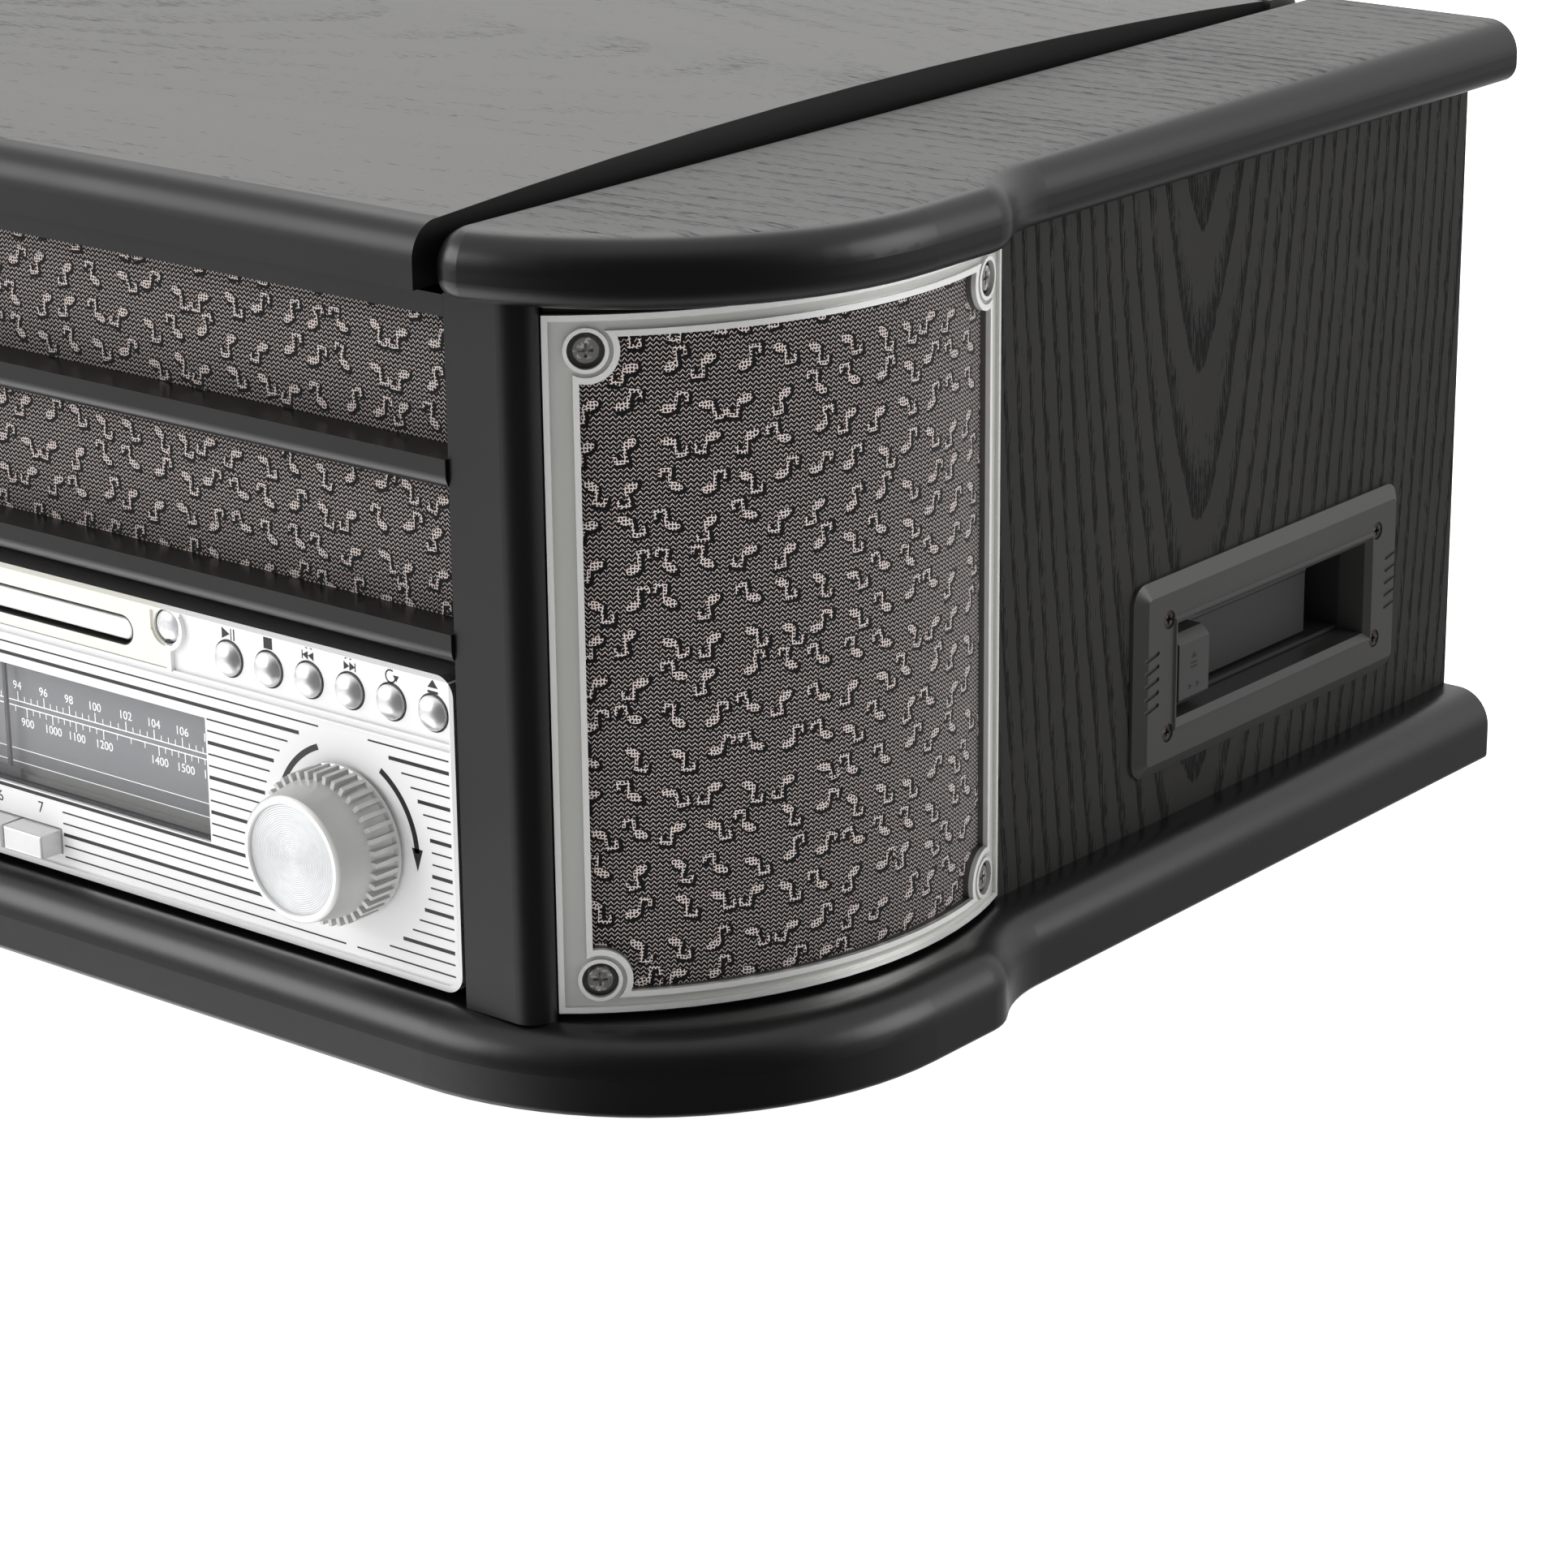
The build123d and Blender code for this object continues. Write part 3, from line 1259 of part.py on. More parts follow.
platter_y = back(platter_depth)
platter_z = deck_z + platter_lift
platter_top = platter_z + platter_height
mat_top = platter_top + mat_thickness
pulley_x = platter_x - pulley_offset
arm_y = back(arm_depth)
tube_z = deck_z + arm_height
stay_x = lid_half - lid_skirt - stay_inset
stay_angle = radians(stay_line + stay_start)
stay_y = hinge_y - stay_length * cos(stay_angle)
stay_z = hinge_z - stay_length * sin(stay_angle)
lever_x = arm_x + lever_side
lever_y = arm_y - lever_lead
lever_z = deck_z + ear_axle
speed_x = arm_x + speed_side
speed_y = back(speed_depth)
rest_y = arm_y - rest_lead
deck_front_y = back(cloth_depth + cloth_board + fitting_gap)
deck_rear_y = back_inner_y - fitting_gap

with BuildPart() as turntable_deck:
    with BuildSketch(Plane.XY.offset(deck_z - deck_thickness)):
        with Locations((0, (deck_front_y + deck_rear_y) / 2)):
            Rectangle(2 * (stile_inner - board_gap), deck_rear_y - deck_front_y)
        with Locations((pulley_x, platter_y)):
            Circle(pulley_radius + pulley_room, mode=Mode.SUBTRACT)
        with Locations((platter_x, platter_y)):
            Circle(bearing_radius, mode=Mode.SUBTRACT)
        with Locations((speed_x, speed_y)):
            Circle(shaft_radius + running, mode=Mode.SUBTRACT)
    extrude(amount=deck_thickness)
    with Locations((arm_x, rest_y, deck_z)):
        Cylinder(rest_radius, arm_height - arm_tube_radius - board_gap, align=upright)
    with Locations((arm_x + arm_tube_radius + board_gap + rest_clip / 2, rest_y, deck_z)):
        Box(rest_clip, rest_clip_width, arm_height + rest_clip, align=upright)
    with BuildSketch(Plane.YZ.offset(stay_x - bracket_inset)):
        with BuildLine():
            Polyline((stay_y - bracket_foot, deck_z), (stay_y - bracket_head, stay_z + bracket_head),
                     (stay_y + bracket_head, stay_z + bracket_head),
                     (stay_y + bracket_foot, deck_z), close=True)
        make_face()
    extrude(amount=bracket_sheet)
    with BuildSketch(Plane.YZ.offset(stay_x - bracket_pin_inset)):
        with Locations((stay_y, stay_z)):
            Circle(stay_pin_radius)
    extrude(amount=bracket_pin_reach)
    for side in (-1, 1):
        with Locations((lever_x + side * (ear_gap + ear_sheet) / 2, lever_y, deck_z)):
            Box(ear_sheet, ear_width, ear_height, align=upright)
    with BuildSketch(Plane.YZ.offset(lever_x - (ear_gap + ear_sheet) / 2)):
        with Locations((lever_y, lever_z)):
            Circle(axle_radius)
    extrude(amount=ear_gap + ear_sheet)
turntable_deck.part.label = "turntable_deck"
export_step(turntable_deck.part, "parts/turntable_deck.step")

with BuildPart() as platter_spindle:
    bearing_low = deck_z - deck_thickness - bearing_depth
    with BuildSketch(Plane.XY.offset(bearing_low)):
        with Locations((platter_x, platter_y)):
            Circle(bearing_radius)
    extrude(amount=mat_top - bearing_low)
    with BuildSketch(Plane.XY.offset(mat_top)):
        with Locations((platter_x, platter_y)):
            Circle(spindle_radius)
    extrude(amount=spindle_height)
    chamfer(platter_spindle.faces().sort_by(Axis.Z)[-1].edges(), length=spindle_point)
platter_spindle.part.label = "platter_spindle"
export_step(platter_spindle.part, "parts/platter_spindle.step")

with BuildPart() as platter:
    with BuildSketch(Plane.XZ.offset(-platter_y)):
        with BuildLine():
            disc_z = platter_top - platter_sheet
            hub = bearing_radius + running
            rim = platter_x + platter_radius
            track = platter_x + belt_track_radius
            Polyline((platter_x + hub, platter_top), (rim - platter_arris, platter_top),
                     (rim, platter_top - platter_arris), (rim, platter_z),
                     (rim - platter_wall, platter_z), (rim - platter_wall, disc_z), (track, disc_z),
                     (track, platter_z), (track - belt_track_wall, platter_z),
                     (track - belt_track_wall, disc_z), (platter_x + hub_radius, disc_z),
                     (platter_x + hub_radius, platter_z), (platter_x + hub, platter_z), close=True)
        make_face()
    revolve(axis=Axis((platter_x, platter_y, 0), (0, 0, 1)))
platter.part.label = "platter"
export_step(platter.part, "parts/platter.step")

with BuildPart() as platter_mat:
    with BuildSketch(Plane.XY.offset(platter_top)):
        with Locations((platter_x, platter_y)):
            Circle(platter_radius - mat_inset)
            Circle(bearing_radius + mat_hole_room, mode=Mode.SUBTRACT)
    extrude(amount=mat_thickness)
    for ring in range(mat_rings):
        ring_radius = mat_ring_start + mat_ring_pitch * ring
        with BuildSketch(Plane.XY.offset(mat_top)):
            with Locations((platter_x, platter_y)):
                Circle(ring_radius + mat_ring_width)
                Circle(ring_radius, mode=Mode.SUBTRACT)
        extrude(amount=-mat_ring_depth, mode=Mode.SUBTRACT)
platter_mat.part.label = "platter_mat"
export_step(platter_mat.part, "parts/platter_mat.step")

belt_z = platter_z + belt_lift


def belt_run(extra):
    """Plan of what a belt encloses when it stands this far outside platter track and pulley."""
    large = belt_track_radius + extra
    small = pulley_radius + extra
    lean = acos((large - small) / pulley_offset)
    with BuildSketch() as run:
        with Locations((platter_x, platter_y)):
            Circle(large)
        with Locations((pulley_x, platter_y)):
            Circle(small)
        with BuildLine():
            corners = []
            for x, radius, side in ((platter_x, large, 1), (pulley_x, small, 1),
                                    (pulley_x, small, -1), (platter_x, large, -1)):
                corners.append((x - radius * cos(lean), platter_y + side * radius * sin(lean)))
            Polyline(*corners, close=True)
        make_face()
    return run.sketch


with BuildPart() as drive_belt:
    with BuildSketch(Plane.XY.offset(belt_z)):
        add(belt_run(belt_gap + belt_thickness))
        add(belt_run(belt_gap), mode=Mode.SUBTRACT)
    extrude(amount=belt_height)
drive_belt.part.label = "drive_belt"
export_step(drive_belt.part, "parts/drive_belt.step")

with BuildPart() as motor_pulley:
    with BuildSketch(Plane.XY.offset(platter_z)):
        with Locations((pulley_x, platter_y)):
            Circle(pulley_radius)
    extrude(amount=belt_height + pulley_lip)
    with BuildSketch(Plane.XY.offset(platter_z)):
        with Locations((pulley_x, platter_y)):
            Circle(motor_shaft_radius)
    extrude(amount=-(platter_lift + deck_thickness + motor_shaft_tail))
motor_pulley.part.label = "motor_pulley"
export_step(motor_pulley.part, "parts/motor_pulley.step")

with BuildPart() as platter_motor:
    with BuildSketch(Plane.XY.offset(deck_z - deck_thickness)):
        with Locations((pulley_x, platter_y)):
            Circle(motor_flange_radius)
            Circle(pulley_radius + pulley_room, mode=Mode.SUBTRACT)
    extrude(amount=-motor_flange)
    with BuildSketch(Plane.XY.offset(deck_z - deck_thickness - motor_flange)):
        with Locations((pulley_x, platter_y)):
            Circle(motor_radius)
            Circle(motor_shaft_radius + running, mode=Mode.SUBTRACT)
    extrude(amount=-motor_length)
platter_motor.part.label = "platter_motor"
export_step(platter_motor.part, "parts/platter_motor.step")

with BuildPart() as tonearm_base:
    with BuildSketch(Plane.XY.offset(deck_z)):
        with Locations((arm_x, arm_y)):
            Circle(arm_base_radius)
            Circle(gimbal_shaft + running, mode=Mode.SUBTRACT)
    extrude(amount=arm_base_height)
    chamfer(tonearm_base.faces().sort_by(Axis.Z)[-1].edges().sort_by(SortBy.LENGTH)[-1],
            length=arm_base_bevel)
tonearm_base.part.label = "tonearm_base"
export_step(tonearm_base.part, "parts/tonearm_base.step")

gimbal_z = deck_z + arm_base_height + sheet_gap
yoke_top = tube_z - yoke_lap

with BuildPart() as tonearm_gimbal:
    with BuildSketch(Plane.XY.offset(gimbal_z)):
        with Locations((arm_x, arm_y)):
            Circle(gimbal_radius)
    extrude(amount=gimbal_plate)
    with BuildSketch(Plane.XY.offset(gimbal_z)):
        with Locations((arm_x, arm_y)):
            Circle(gimbal_shaft)
    extrude(amount=-(arm_base_height + sheet_gap))
    for side in (-1, 1):
        yoke_x = arm_x + side * (yoke_half - yoke_sheet / 2)
        with BuildSketch(Plane.YZ.offset(yoke_x - yoke_sheet / 2)):
            with Locations((arm_y, tube_z)):
                Circle(yoke_eye)
                Circle(axle_radius + running, mode=Mode.SUBTRACT)
            with Locations((arm_y, (gimbal_z + yoke_top) / 2)):
                Rectangle(yoke_width, yoke_top - gimbal_z)
        extrude(amount=yoke_sheet)
tonearm_gimbal.part.label = "tonearm_gimbal"
export_step(tonearm_gimbal.part, "parts/tonearm_gimbal.step")

head_y = arm_y - arm_length + head_length
head_end = head_y - head_length
head_half = head_width / 2
cartridge_low = mat_top + stylus_gap

with BuildPart() as tonearm:
    with BuildSketch(Plane.XZ.offset(-(arm_y + arm_tail))):
        with Locations((arm_x, tube_z)):
            Circle(arm_tube_radius)
    extrude(amount=arm_tail + arm_length - head_length + head_lap)
    with BuildSketch(Plane.XZ.offset(-(arm_y + weight_lead))):
        with Locations((arm_x, tube_z)):
            Circle(weight_radius)
    extrude(amount=-weight_length)
    with BuildSketch(Plane.YZ.offset(arm_x - yoke_half + board_gap)):
        with Locations((arm_y, tube_z)):
            Circle(axle_radius)
    extrude(amount=2 * (yoke_half - board_gap))
    with Locations((arm_x, arm_y, tube_z)):
        Box(pivot_block_width, pivot_block, pivot_block)
    with BuildSketch(Plane.XY.offset(tube_z + head_lift)):
        with BuildLine():
            Polyline((arm_x - head_neck, head_y), (arm_x + head_neck, head_y),
                     (arm_x + head_half, head_y - head_shoulder),
                     (arm_x + head_half - head_taper, head_end - head_nose),
                     (arm_x - head_half + head_taper, head_end - head_nose),
                     (arm_x - head_half, head_y - head_shoulder), close=True)
        make_face()
    extrude(amount=head_sheet)
    with Locations((arm_x, head_end + cartridge_lead, cartridge_low)):
        Box(cartridge_width, cartridge_length, tube_z + head_lift + cartridge_lap - cartridge_low,
            align=upright)
    with BuildSketch(Plane.YZ.offset(arm_x + head_half - finger_in)):
        with Locations((head_end - finger_lead, tube_z + finger_rise)):
            Rectangle(finger_length, finger_sheet)
    extrude(amount=finger_width)
tonearm.part.label = "tonearm"
export_step(tonearm.part, "parts/tonearm.step")

with BuildPart() as cue_lever:
    with BuildSketch(Plane.YZ.offset(lever_x - lever_half)):
        with Locations((lever_y, lever_z)):
            Circle(lever_eye)
            Circle(axle_radius + running, mode=Mode.SUBTRACT)
        with Locations((lever_y - lever_start - lever_length / 2, lever_z)):
            Rectangle(lever_length, lever_sheet)
    extrude(amount=2 * lever_half)
cue_lever.part.label = "cue_lever"
export_step(cue_lever.part, "parts/cue_lever.step")

with BuildPart() as speed_lever:
    with BuildSketch(Plane.XY.offset(deck_z + sheet_gap)):
        with Locations((speed_x, speed_y)):
            Circle(speed_disc_radius)
    extrude(amount=speed_disc)
    with BuildSketch(Plane.XY.offset(deck_z + sheet_gap)):
        with Locations((speed_x, speed_y)):
            Circle(shaft_radius)
    extrude(amount=-(deck_thickness + sheet_gap))
    with Locations((speed_x, speed_y - speed_grip_lead, deck_z + speed_disc)):
        Box(*speed_grip, align=upright)
speed_lever.part.label = "speed_lever"
export_step(speed_lever.part, "parts/speed_lever.step")

# ----------------------------------------------------------------------------------------
# Lid, hinges and stay
# ----------------------------------------------------------------------------------------

lid_front_y = front_y + lid_moulding_depth
lid_low_z = top_z - lid_edge
pocket_z = top_z - lid_panel

with BuildPart() as lid_board:
    with BuildSketch(Plane.YZ.offset(-lid_half)):
        with BuildLine():
            ThreePointArc((lid_front_y, top_z + lid_step),
                          ((lid_front_y + lid_rear_y) / 2, top_z + lid_rise),
                          (lid_rear_y, top_z))
            Polyline((lid_rear_y, top_z), (lid_rear_y, lid_low_z), (lid_front_y, lid_low_z),
                     (lid_front_y, top_z + lid_step))
        make_face()
    extrude(amount=2 * lid_half)
    with BuildSketch(Plane.XY.offset(lid_low_z)):
        with Locations((0, (lid_front_y + lid_rear_y) / 2)):
            Rectangle(2 * (lid_half - lid_skirt), lid_rear_y - lid_front_y - 2 * lid_skirt)
    extrude(amount=pocket_z - lid_low_z, mode=Mode.SUBTRACT)
lid_board.part.label = "lid_board"
export_step(lid_board.part, "parts/lid_board.step")

with BuildPart() as lid_moulding:
    with BuildSketch(Plane.YZ.offset(-lid_half)) as moulding_profile:
        with Locations(((front_y + lid_front_y) / 2, (lid_low_z + top_z + lid_step) / 2)):
            Rectangle(lid_moulding_depth, lid_edge + lid_step)
        front_corners = moulding_profile.vertices().group_by(Axis.X)[0].sort_by(Axis.Y)
        fillet(front_corners[-1], radius=lid_moulding_depth - moulding_flat)
        fillet(front_corners[0], radius=moulding_under)
    extrude(amount=2 * lid_half)
lid_moulding.part.label = "lid_moulding"
export_step(lid_moulding.part, "parts/lid_moulding.step")


def knuckle_end(start, bored):
    """End of one hinge knuckle, bored for the pin or solid with it."""
    with BuildSketch(Plane.YZ.offset(start)) as end:
        with Locations((hinge_y, hinge_z)):
            Circle(knuckle_radius)
            if bored:
                Circle(hinge_pin_radius + running, mode=Mode.SUBTRACT)
    return end.sketch


knuckle_length = (hinge_length - (knuckle_count + 1) * sheet_gap) / knuckle_count
plate_top = top_z - board_gap
leaf_z = (plate_top + hinge_z) / 2 - leaf_tuck
leaf_height = hinge_z - plate_top + board_gap

with BuildPart() as lid_hinge_leaves:
    for side in (-1, 1):
        middle = side * hinge_offset
        extrude(knuckle_end(middle - knuckle_length / 2, True), amount=knuckle_length)
        with BuildSketch(Plane.YZ.offset(middle - knuckle_length / 2)):
            with Locations((lid_rear_y + leaf_thickness / 2, leaf_z)):
                Rectangle(leaf_thickness, leaf_height)
        extrude(amount=knuckle_length)
        with BuildSketch(Plane.YZ.offset(middle - hinge_length / 2)):
            with Locations((lid_rear_y + leaf_thickness / 2, plate_top - leaf_drop / 2)):
                Rectangle(leaf_thickness, leaf_drop)
        extrude(amount=hinge_length)
lid_hinge_leaves.part.label = "lid_hinge_leaves"
export_step(lid_hinge_leaves.part, "parts/lid_hinge_leaves.step")

with BuildPart() as rail_hinge_leaves:
    for side in (-1, 1):
        middle = side * hinge_offset
        for start in (middle - hinge_length / 2, middle + hinge_length / 2 - knuckle_length):
            extrude(knuckle_end(start, False), amount=knuckle_length)
            with BuildSketch(Plane.YZ.offset(start)):
                with Locations((rail_front_y - leaf_thickness / 2, leaf_z)):
                    Rectangle(leaf_thickness, leaf_height)
            extrude(amount=knuckle_length)
        with BuildSketch(Plane.YZ.offset(middle - hinge_length / 2)):
            with Locations((rail_front_y - leaf_thickness / 2, plate_top - leaf_drop / 2)):
                Rectangle(leaf_thickness, leaf_drop)
        extrude(amount=hinge_length)
        with BuildSketch(Plane.YZ.offset(middle - hinge_length / 2)):
            with Locations((hinge_y, hinge_z)):
                Circle(hinge_pin_radius)
        extrude(amount=hinge_length)
rail_hinge_leaves.part.label = "rail_hinge_leaves"
export_step(rail_hinge_leaves.part, "parts/rail_hinge_leaves.step")

slot_far = 2 * stay_length * cos(radians(stay_start))
slot_near = 2 * stay_length * cos(radians(stay_start + stay_open))
line_y = -cos(radians(stay_line))
line_z = -sin(radians(stay_line))
tip_y = hinge_y + slot_far * line_y
tip_z = hinge_z + slot_far * line_z
slot_middle = (slot_near + slot_far) / 2

near = slot_near - rail_margin
far = slot_far + rail_margin
rail_x = stay_x + rail_offset

with BuildPart() as lid_stay_rail:
    with BuildSketch(Plane.YZ.offset(rail_x)):
        with BuildLine():
            Polyline((hinge_y + near * line_y, pocket_z),
                     (hinge_y + near * line_y, hinge_z + near * line_z - rail_drop),
                     (hinge_y + far * line_y, hinge_z + far * line_z - rail_drop),
                     (hinge_y + far * line_y, pocket_z), close=True)
        make_face()
        with Locations((hinge_y + slot_middle * line_y, hinge_z + slot_middle * line_z)):
            SlotOverall(slot_far - slot_near + 2 * (stay_pin_radius + fitting_gap),
                        2 * stay_pin_radius + sheet_gap, rotation=stay_line, mode=Mode.SUBTRACT)
    extrude(amount=stay_sheet)
    with BuildSketch(Plane.XY.offset(pocket_z)):
        with Locations((rail_x - rail_flange / 2, hinge_y + slot_middle * line_y)):
            Rectangle(rail_flange + 2 * stay_sheet, (far - near) * rail_flange_share)
    extrude(amount=-rail_flange_sheet)
lid_stay_rail.part.label = "lid_stay_rail"
export_step(lid_stay_rail.part, "parts/lid_stay_rail.step")

with BuildPart() as lid_stay_arm:
    arm_slope = degrees(atan2(tip_z - stay_z, tip_y - stay_y))
    with BuildSketch(Plane.YZ.offset(stay_x - stay_offset)):
        with Locations(((stay_y + tip_y) / 2, (stay_z + tip_z) / 2)):
            SlotCenterToCenter(stay_length, stay_width, rotation=arm_slope)
        with Locations((stay_y, stay_z)):
            Circle(stay_pin_radius + running, mode=Mode.SUBTRACT)
    extrude(amount=stay_sheet)
    with BuildSketch(Plane.YZ.offset(stay_x - stay_offset)):
        with Locations((tip_y, tip_z)):
            Circle(stay_pin_radius)
    extrude(amount=stay_tip_reach)
lid_stay_arm.part.label = "lid_stay_arm"
export_step(lid_stay_arm.part, "parts/lid_stay_arm.step")
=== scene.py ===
"""A bow-fronted stereo music centre in black-stained veneer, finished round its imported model.

Lengths are in metres: +X is to the right of someone facing the front, the front looks along -Y
and +Z is up.  The sections follow the object as it is put together.
"""

import math

import bpy
from mathutils import Matrix, Vector


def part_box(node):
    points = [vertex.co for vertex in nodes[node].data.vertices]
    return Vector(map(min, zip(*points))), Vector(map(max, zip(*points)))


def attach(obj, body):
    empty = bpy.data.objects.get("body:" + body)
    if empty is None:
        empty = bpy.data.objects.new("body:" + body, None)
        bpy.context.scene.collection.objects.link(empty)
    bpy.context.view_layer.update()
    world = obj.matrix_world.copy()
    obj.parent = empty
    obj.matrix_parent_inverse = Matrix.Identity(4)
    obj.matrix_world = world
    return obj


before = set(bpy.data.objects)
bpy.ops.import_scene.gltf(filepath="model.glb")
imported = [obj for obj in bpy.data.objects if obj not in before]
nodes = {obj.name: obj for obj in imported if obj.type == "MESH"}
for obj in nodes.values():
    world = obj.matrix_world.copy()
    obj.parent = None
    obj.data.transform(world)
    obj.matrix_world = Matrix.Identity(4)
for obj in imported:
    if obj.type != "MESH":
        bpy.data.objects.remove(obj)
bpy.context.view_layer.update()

# ----------------------------------------------------------------------------------------
# Camera
# A long lens looks down on the right front corner, a little over a metre away, and it is
# turned a trace about its own line of sight.
# ----------------------------------------------------------------------------------------

camera_place = Vector((0.8636, -0.8972, 0.4414))
camera_yaw = math.radians(38.94)
camera_pitch = math.radians(19.68)
camera_roll = math.radians(-0.54)

forward = Vector((-math.sin(camera_yaw) * math.cos(camera_pitch),
                  math.cos(camera_yaw) * math.cos(camera_pitch),
                  -math.sin(camera_pitch)))
level = Vector((math.cos(camera_yaw), math.sin(camera_yaw), 0))
upright = level.cross(forward)
right = level * math.cos(camera_roll) + upright * math.sin(camera_roll)
up = upright * math.cos(camera_roll) - level * math.sin(camera_roll)

bpy.ops.object.camera_add()
camera = bpy.context.object
camera.data.lens = 108.42
camera.data.sensor_width = 36
camera.data.clip_start = 0.05
camera.matrix_world = Matrix((
    (right.x, up.x, -forward.x, camera_place.x),
    (right.y, up.y, -forward.y, camera_place.y),
    (right.z, up.z, -forward.z, camera_place.z),
    (0, 0, 0, 1)))

scene = bpy.context.scene
scene.camera = camera
scene.view_settings.view_transform = "Standard"
scene.render.film_transparent = False

# ----------------------------------------------------------------------------------------
# Studio lamps and surroundings
# Three soft lamps stand round the set.  What shines in its gloss is a dark patch behind the
# camera and pale walls to both sides of it.
# ----------------------------------------------------------------------------------------


def softbox(name, place, target, width, height, watts):
    """A rectangular lamp at place, turned to face target."""
    bpy.ops.object.light_add(type="AREA", location=place)
    lamp = bpy.context.object
    lamp.name = name
    lamp.data.shape = "RECTANGLE"
    lamp.data.size = width
    lamp.data.size_y = height
    lamp.data.energy = watts
    aim = Vector(target) - Vector(place)
    lamp.rotation_euler = aim.to_track_quat("-Z", "Y").to_euler()


softbox("front_softbox", place=(-2.16, -2.42, 1.46), target=(0.0, -0.1, 0.1),
        width=3.2, height=1.76, watts=87)
softbox("top_softbox", place=(-0.6, 0.9, 1.6), target=(0.0, 0.0, 0.2),
        width=1.6, height=0.9, watts=14)
softbox("side_softbox", place=(1.7, 0.9, 0.7), target=(0.2, 0.0, 0.1),
        width=1.0, height=1.0, watts=12)


class Field:
    """A value that varies from place to place: arithmetic on it adds Math nodes to its shading."""

    def __init__(self, shading, socket):
        self.shading = shading
        self.socket = socket

    def math(self, operation, *values):
        return self.shading.node("Math", {"operation": operation}, dict(enumerate(values)))

    def __add__(self, other):
        return self.math("ADD", self, other)

    def __radd__(self, other):
        return self.math("ADD", other, self)

    def __sub__(self, other):
        return self.math("SUBTRACT", self, other)

    def __rsub__(self, other):
        return self.math("SUBTRACT", other, self)

    def __mul__(self, other):
        return self.math("MULTIPLY", self, other)

    def __rmul__(self, other):
        return self.math("MULTIPLY", other, self)

    def __truediv__(self, other):
        return self.math("DIVIDE", self, other)

    def __rtruediv__(self, other):
        return self.math("DIVIDE", other, self)

    def __mod__(self, other):
        return self.math("FLOORED_MODULO", self, other)

    def __rmod__(self, other):
        return self.math("FLOORED_MODULO", other, self)

    def __pow__(self, other):
        return self.math("POWER", self, other)

    def __rpow__(self, other):
        return self.math("POWER", other, self)

    def __lt__(self, other):
        return self.math("LESS_THAN", self, other)

    def __gt__(self, other):
        return self.math("GREATER_THAN", self, other)

    def __abs__(self):
        return self.math("ABSOLUTE", self)

    def most(self, other):
        """The larger of the two."""
        return self.math("MAXIMUM", self, other)


class Shading:
    """A tree of shader nodes and the few ways in which nodes are added to it."""

    def __init__(self, tree):
        self.tree = tree

    def feed(self, socket, value):
        if isinstance(value, Field):
            self.tree.links.new(value.socket, socket)
        else:
            socket.default_value = value

    def node(self, kind, settings, inputs, output=0):
        """Adds one node, sets it and feeds its sockets; returns one of its outputs."""
        made = self.tree.nodes.new("ShaderNode" + kind)
        for name, value in settings.items():
            setattr(made, name, value)
        for socket, value in inputs.items():
            self.feed(made.inputs[socket], value)
        return Field(self, made.outputs[output])

    def split(self, vector):
        """The three parts of a vector."""
        return [self.node("SeparateXYZ", {}, {0: vector}, axis) for axis in range(3)]

    def ramp(self, value, low, high, to_low=0.0, to_high=1.0):
        """Value from low to high, smoothly turned into to_low to to_high."""
        settings = {"interpolation_type": "SMOOTHSTEP"}
        return self.node("MapRange", settings, {0: value, 1: low, 2: high, 3: to_low, 4: to_high})


world = bpy.data.worlds.new("studio")
scene.world = world
world.use_nodes = True
backdrop = world.node_tree.nodes["Background"]
backdrop.inputs["Color"].default_value = (1, 1, 1, 1)

studio = Shading(world.node_tree)
look_x, look_y, look_z = studio.split(studio.node("TexCoord", {}, {}, "Generated"))
camera_side = Vector((camera_place.x, camera_place.y)).normalized()
to_camera = look_x * camera_side.x + look_y * camera_side.y
to_right = look_x * level.x + look_y * level.y
dark_wall, pale_wall = 0.05, 0.85
walls = studio.ramp(to_camera, 0.80, 0.15, dark_wall, pale_wall)
overhead = studio.ramp(look_z, 0.10, 0.40, 1.0, 1.35)
low_right = studio.ramp(to_right, 0.1, 0.8, 0.0, 0.55) * studio.ramp(look_z, 0.05, -0.30)
table = studio.ramp(to_right, -0.2, -0.65, 0.0, 2.4) * studio.ramp(look_z, -0.34, -0.56)
walls = walls * (overhead * (1 - low_right) + table)
seen, through_glass, glossy = [studio.node("LightPath", {}, {}, "Is " + kind + " Ray")
                               for kind in ("Camera", "Transmission", "Glossy")]
even_light = (1 - glossy) * 0.45
studio.feed(backdrop.inputs["Strength"], seen.most(through_glass).most(even_light + walls * glossy))

# ----------------------------------------------------------------------------------------
# Studio floor
# One plain pale sheet, wide enough to fill the view.  It takes the set's soft shadow, and it
# doesn't show in the set's gloss.
# ----------------------------------------------------------------------------------------


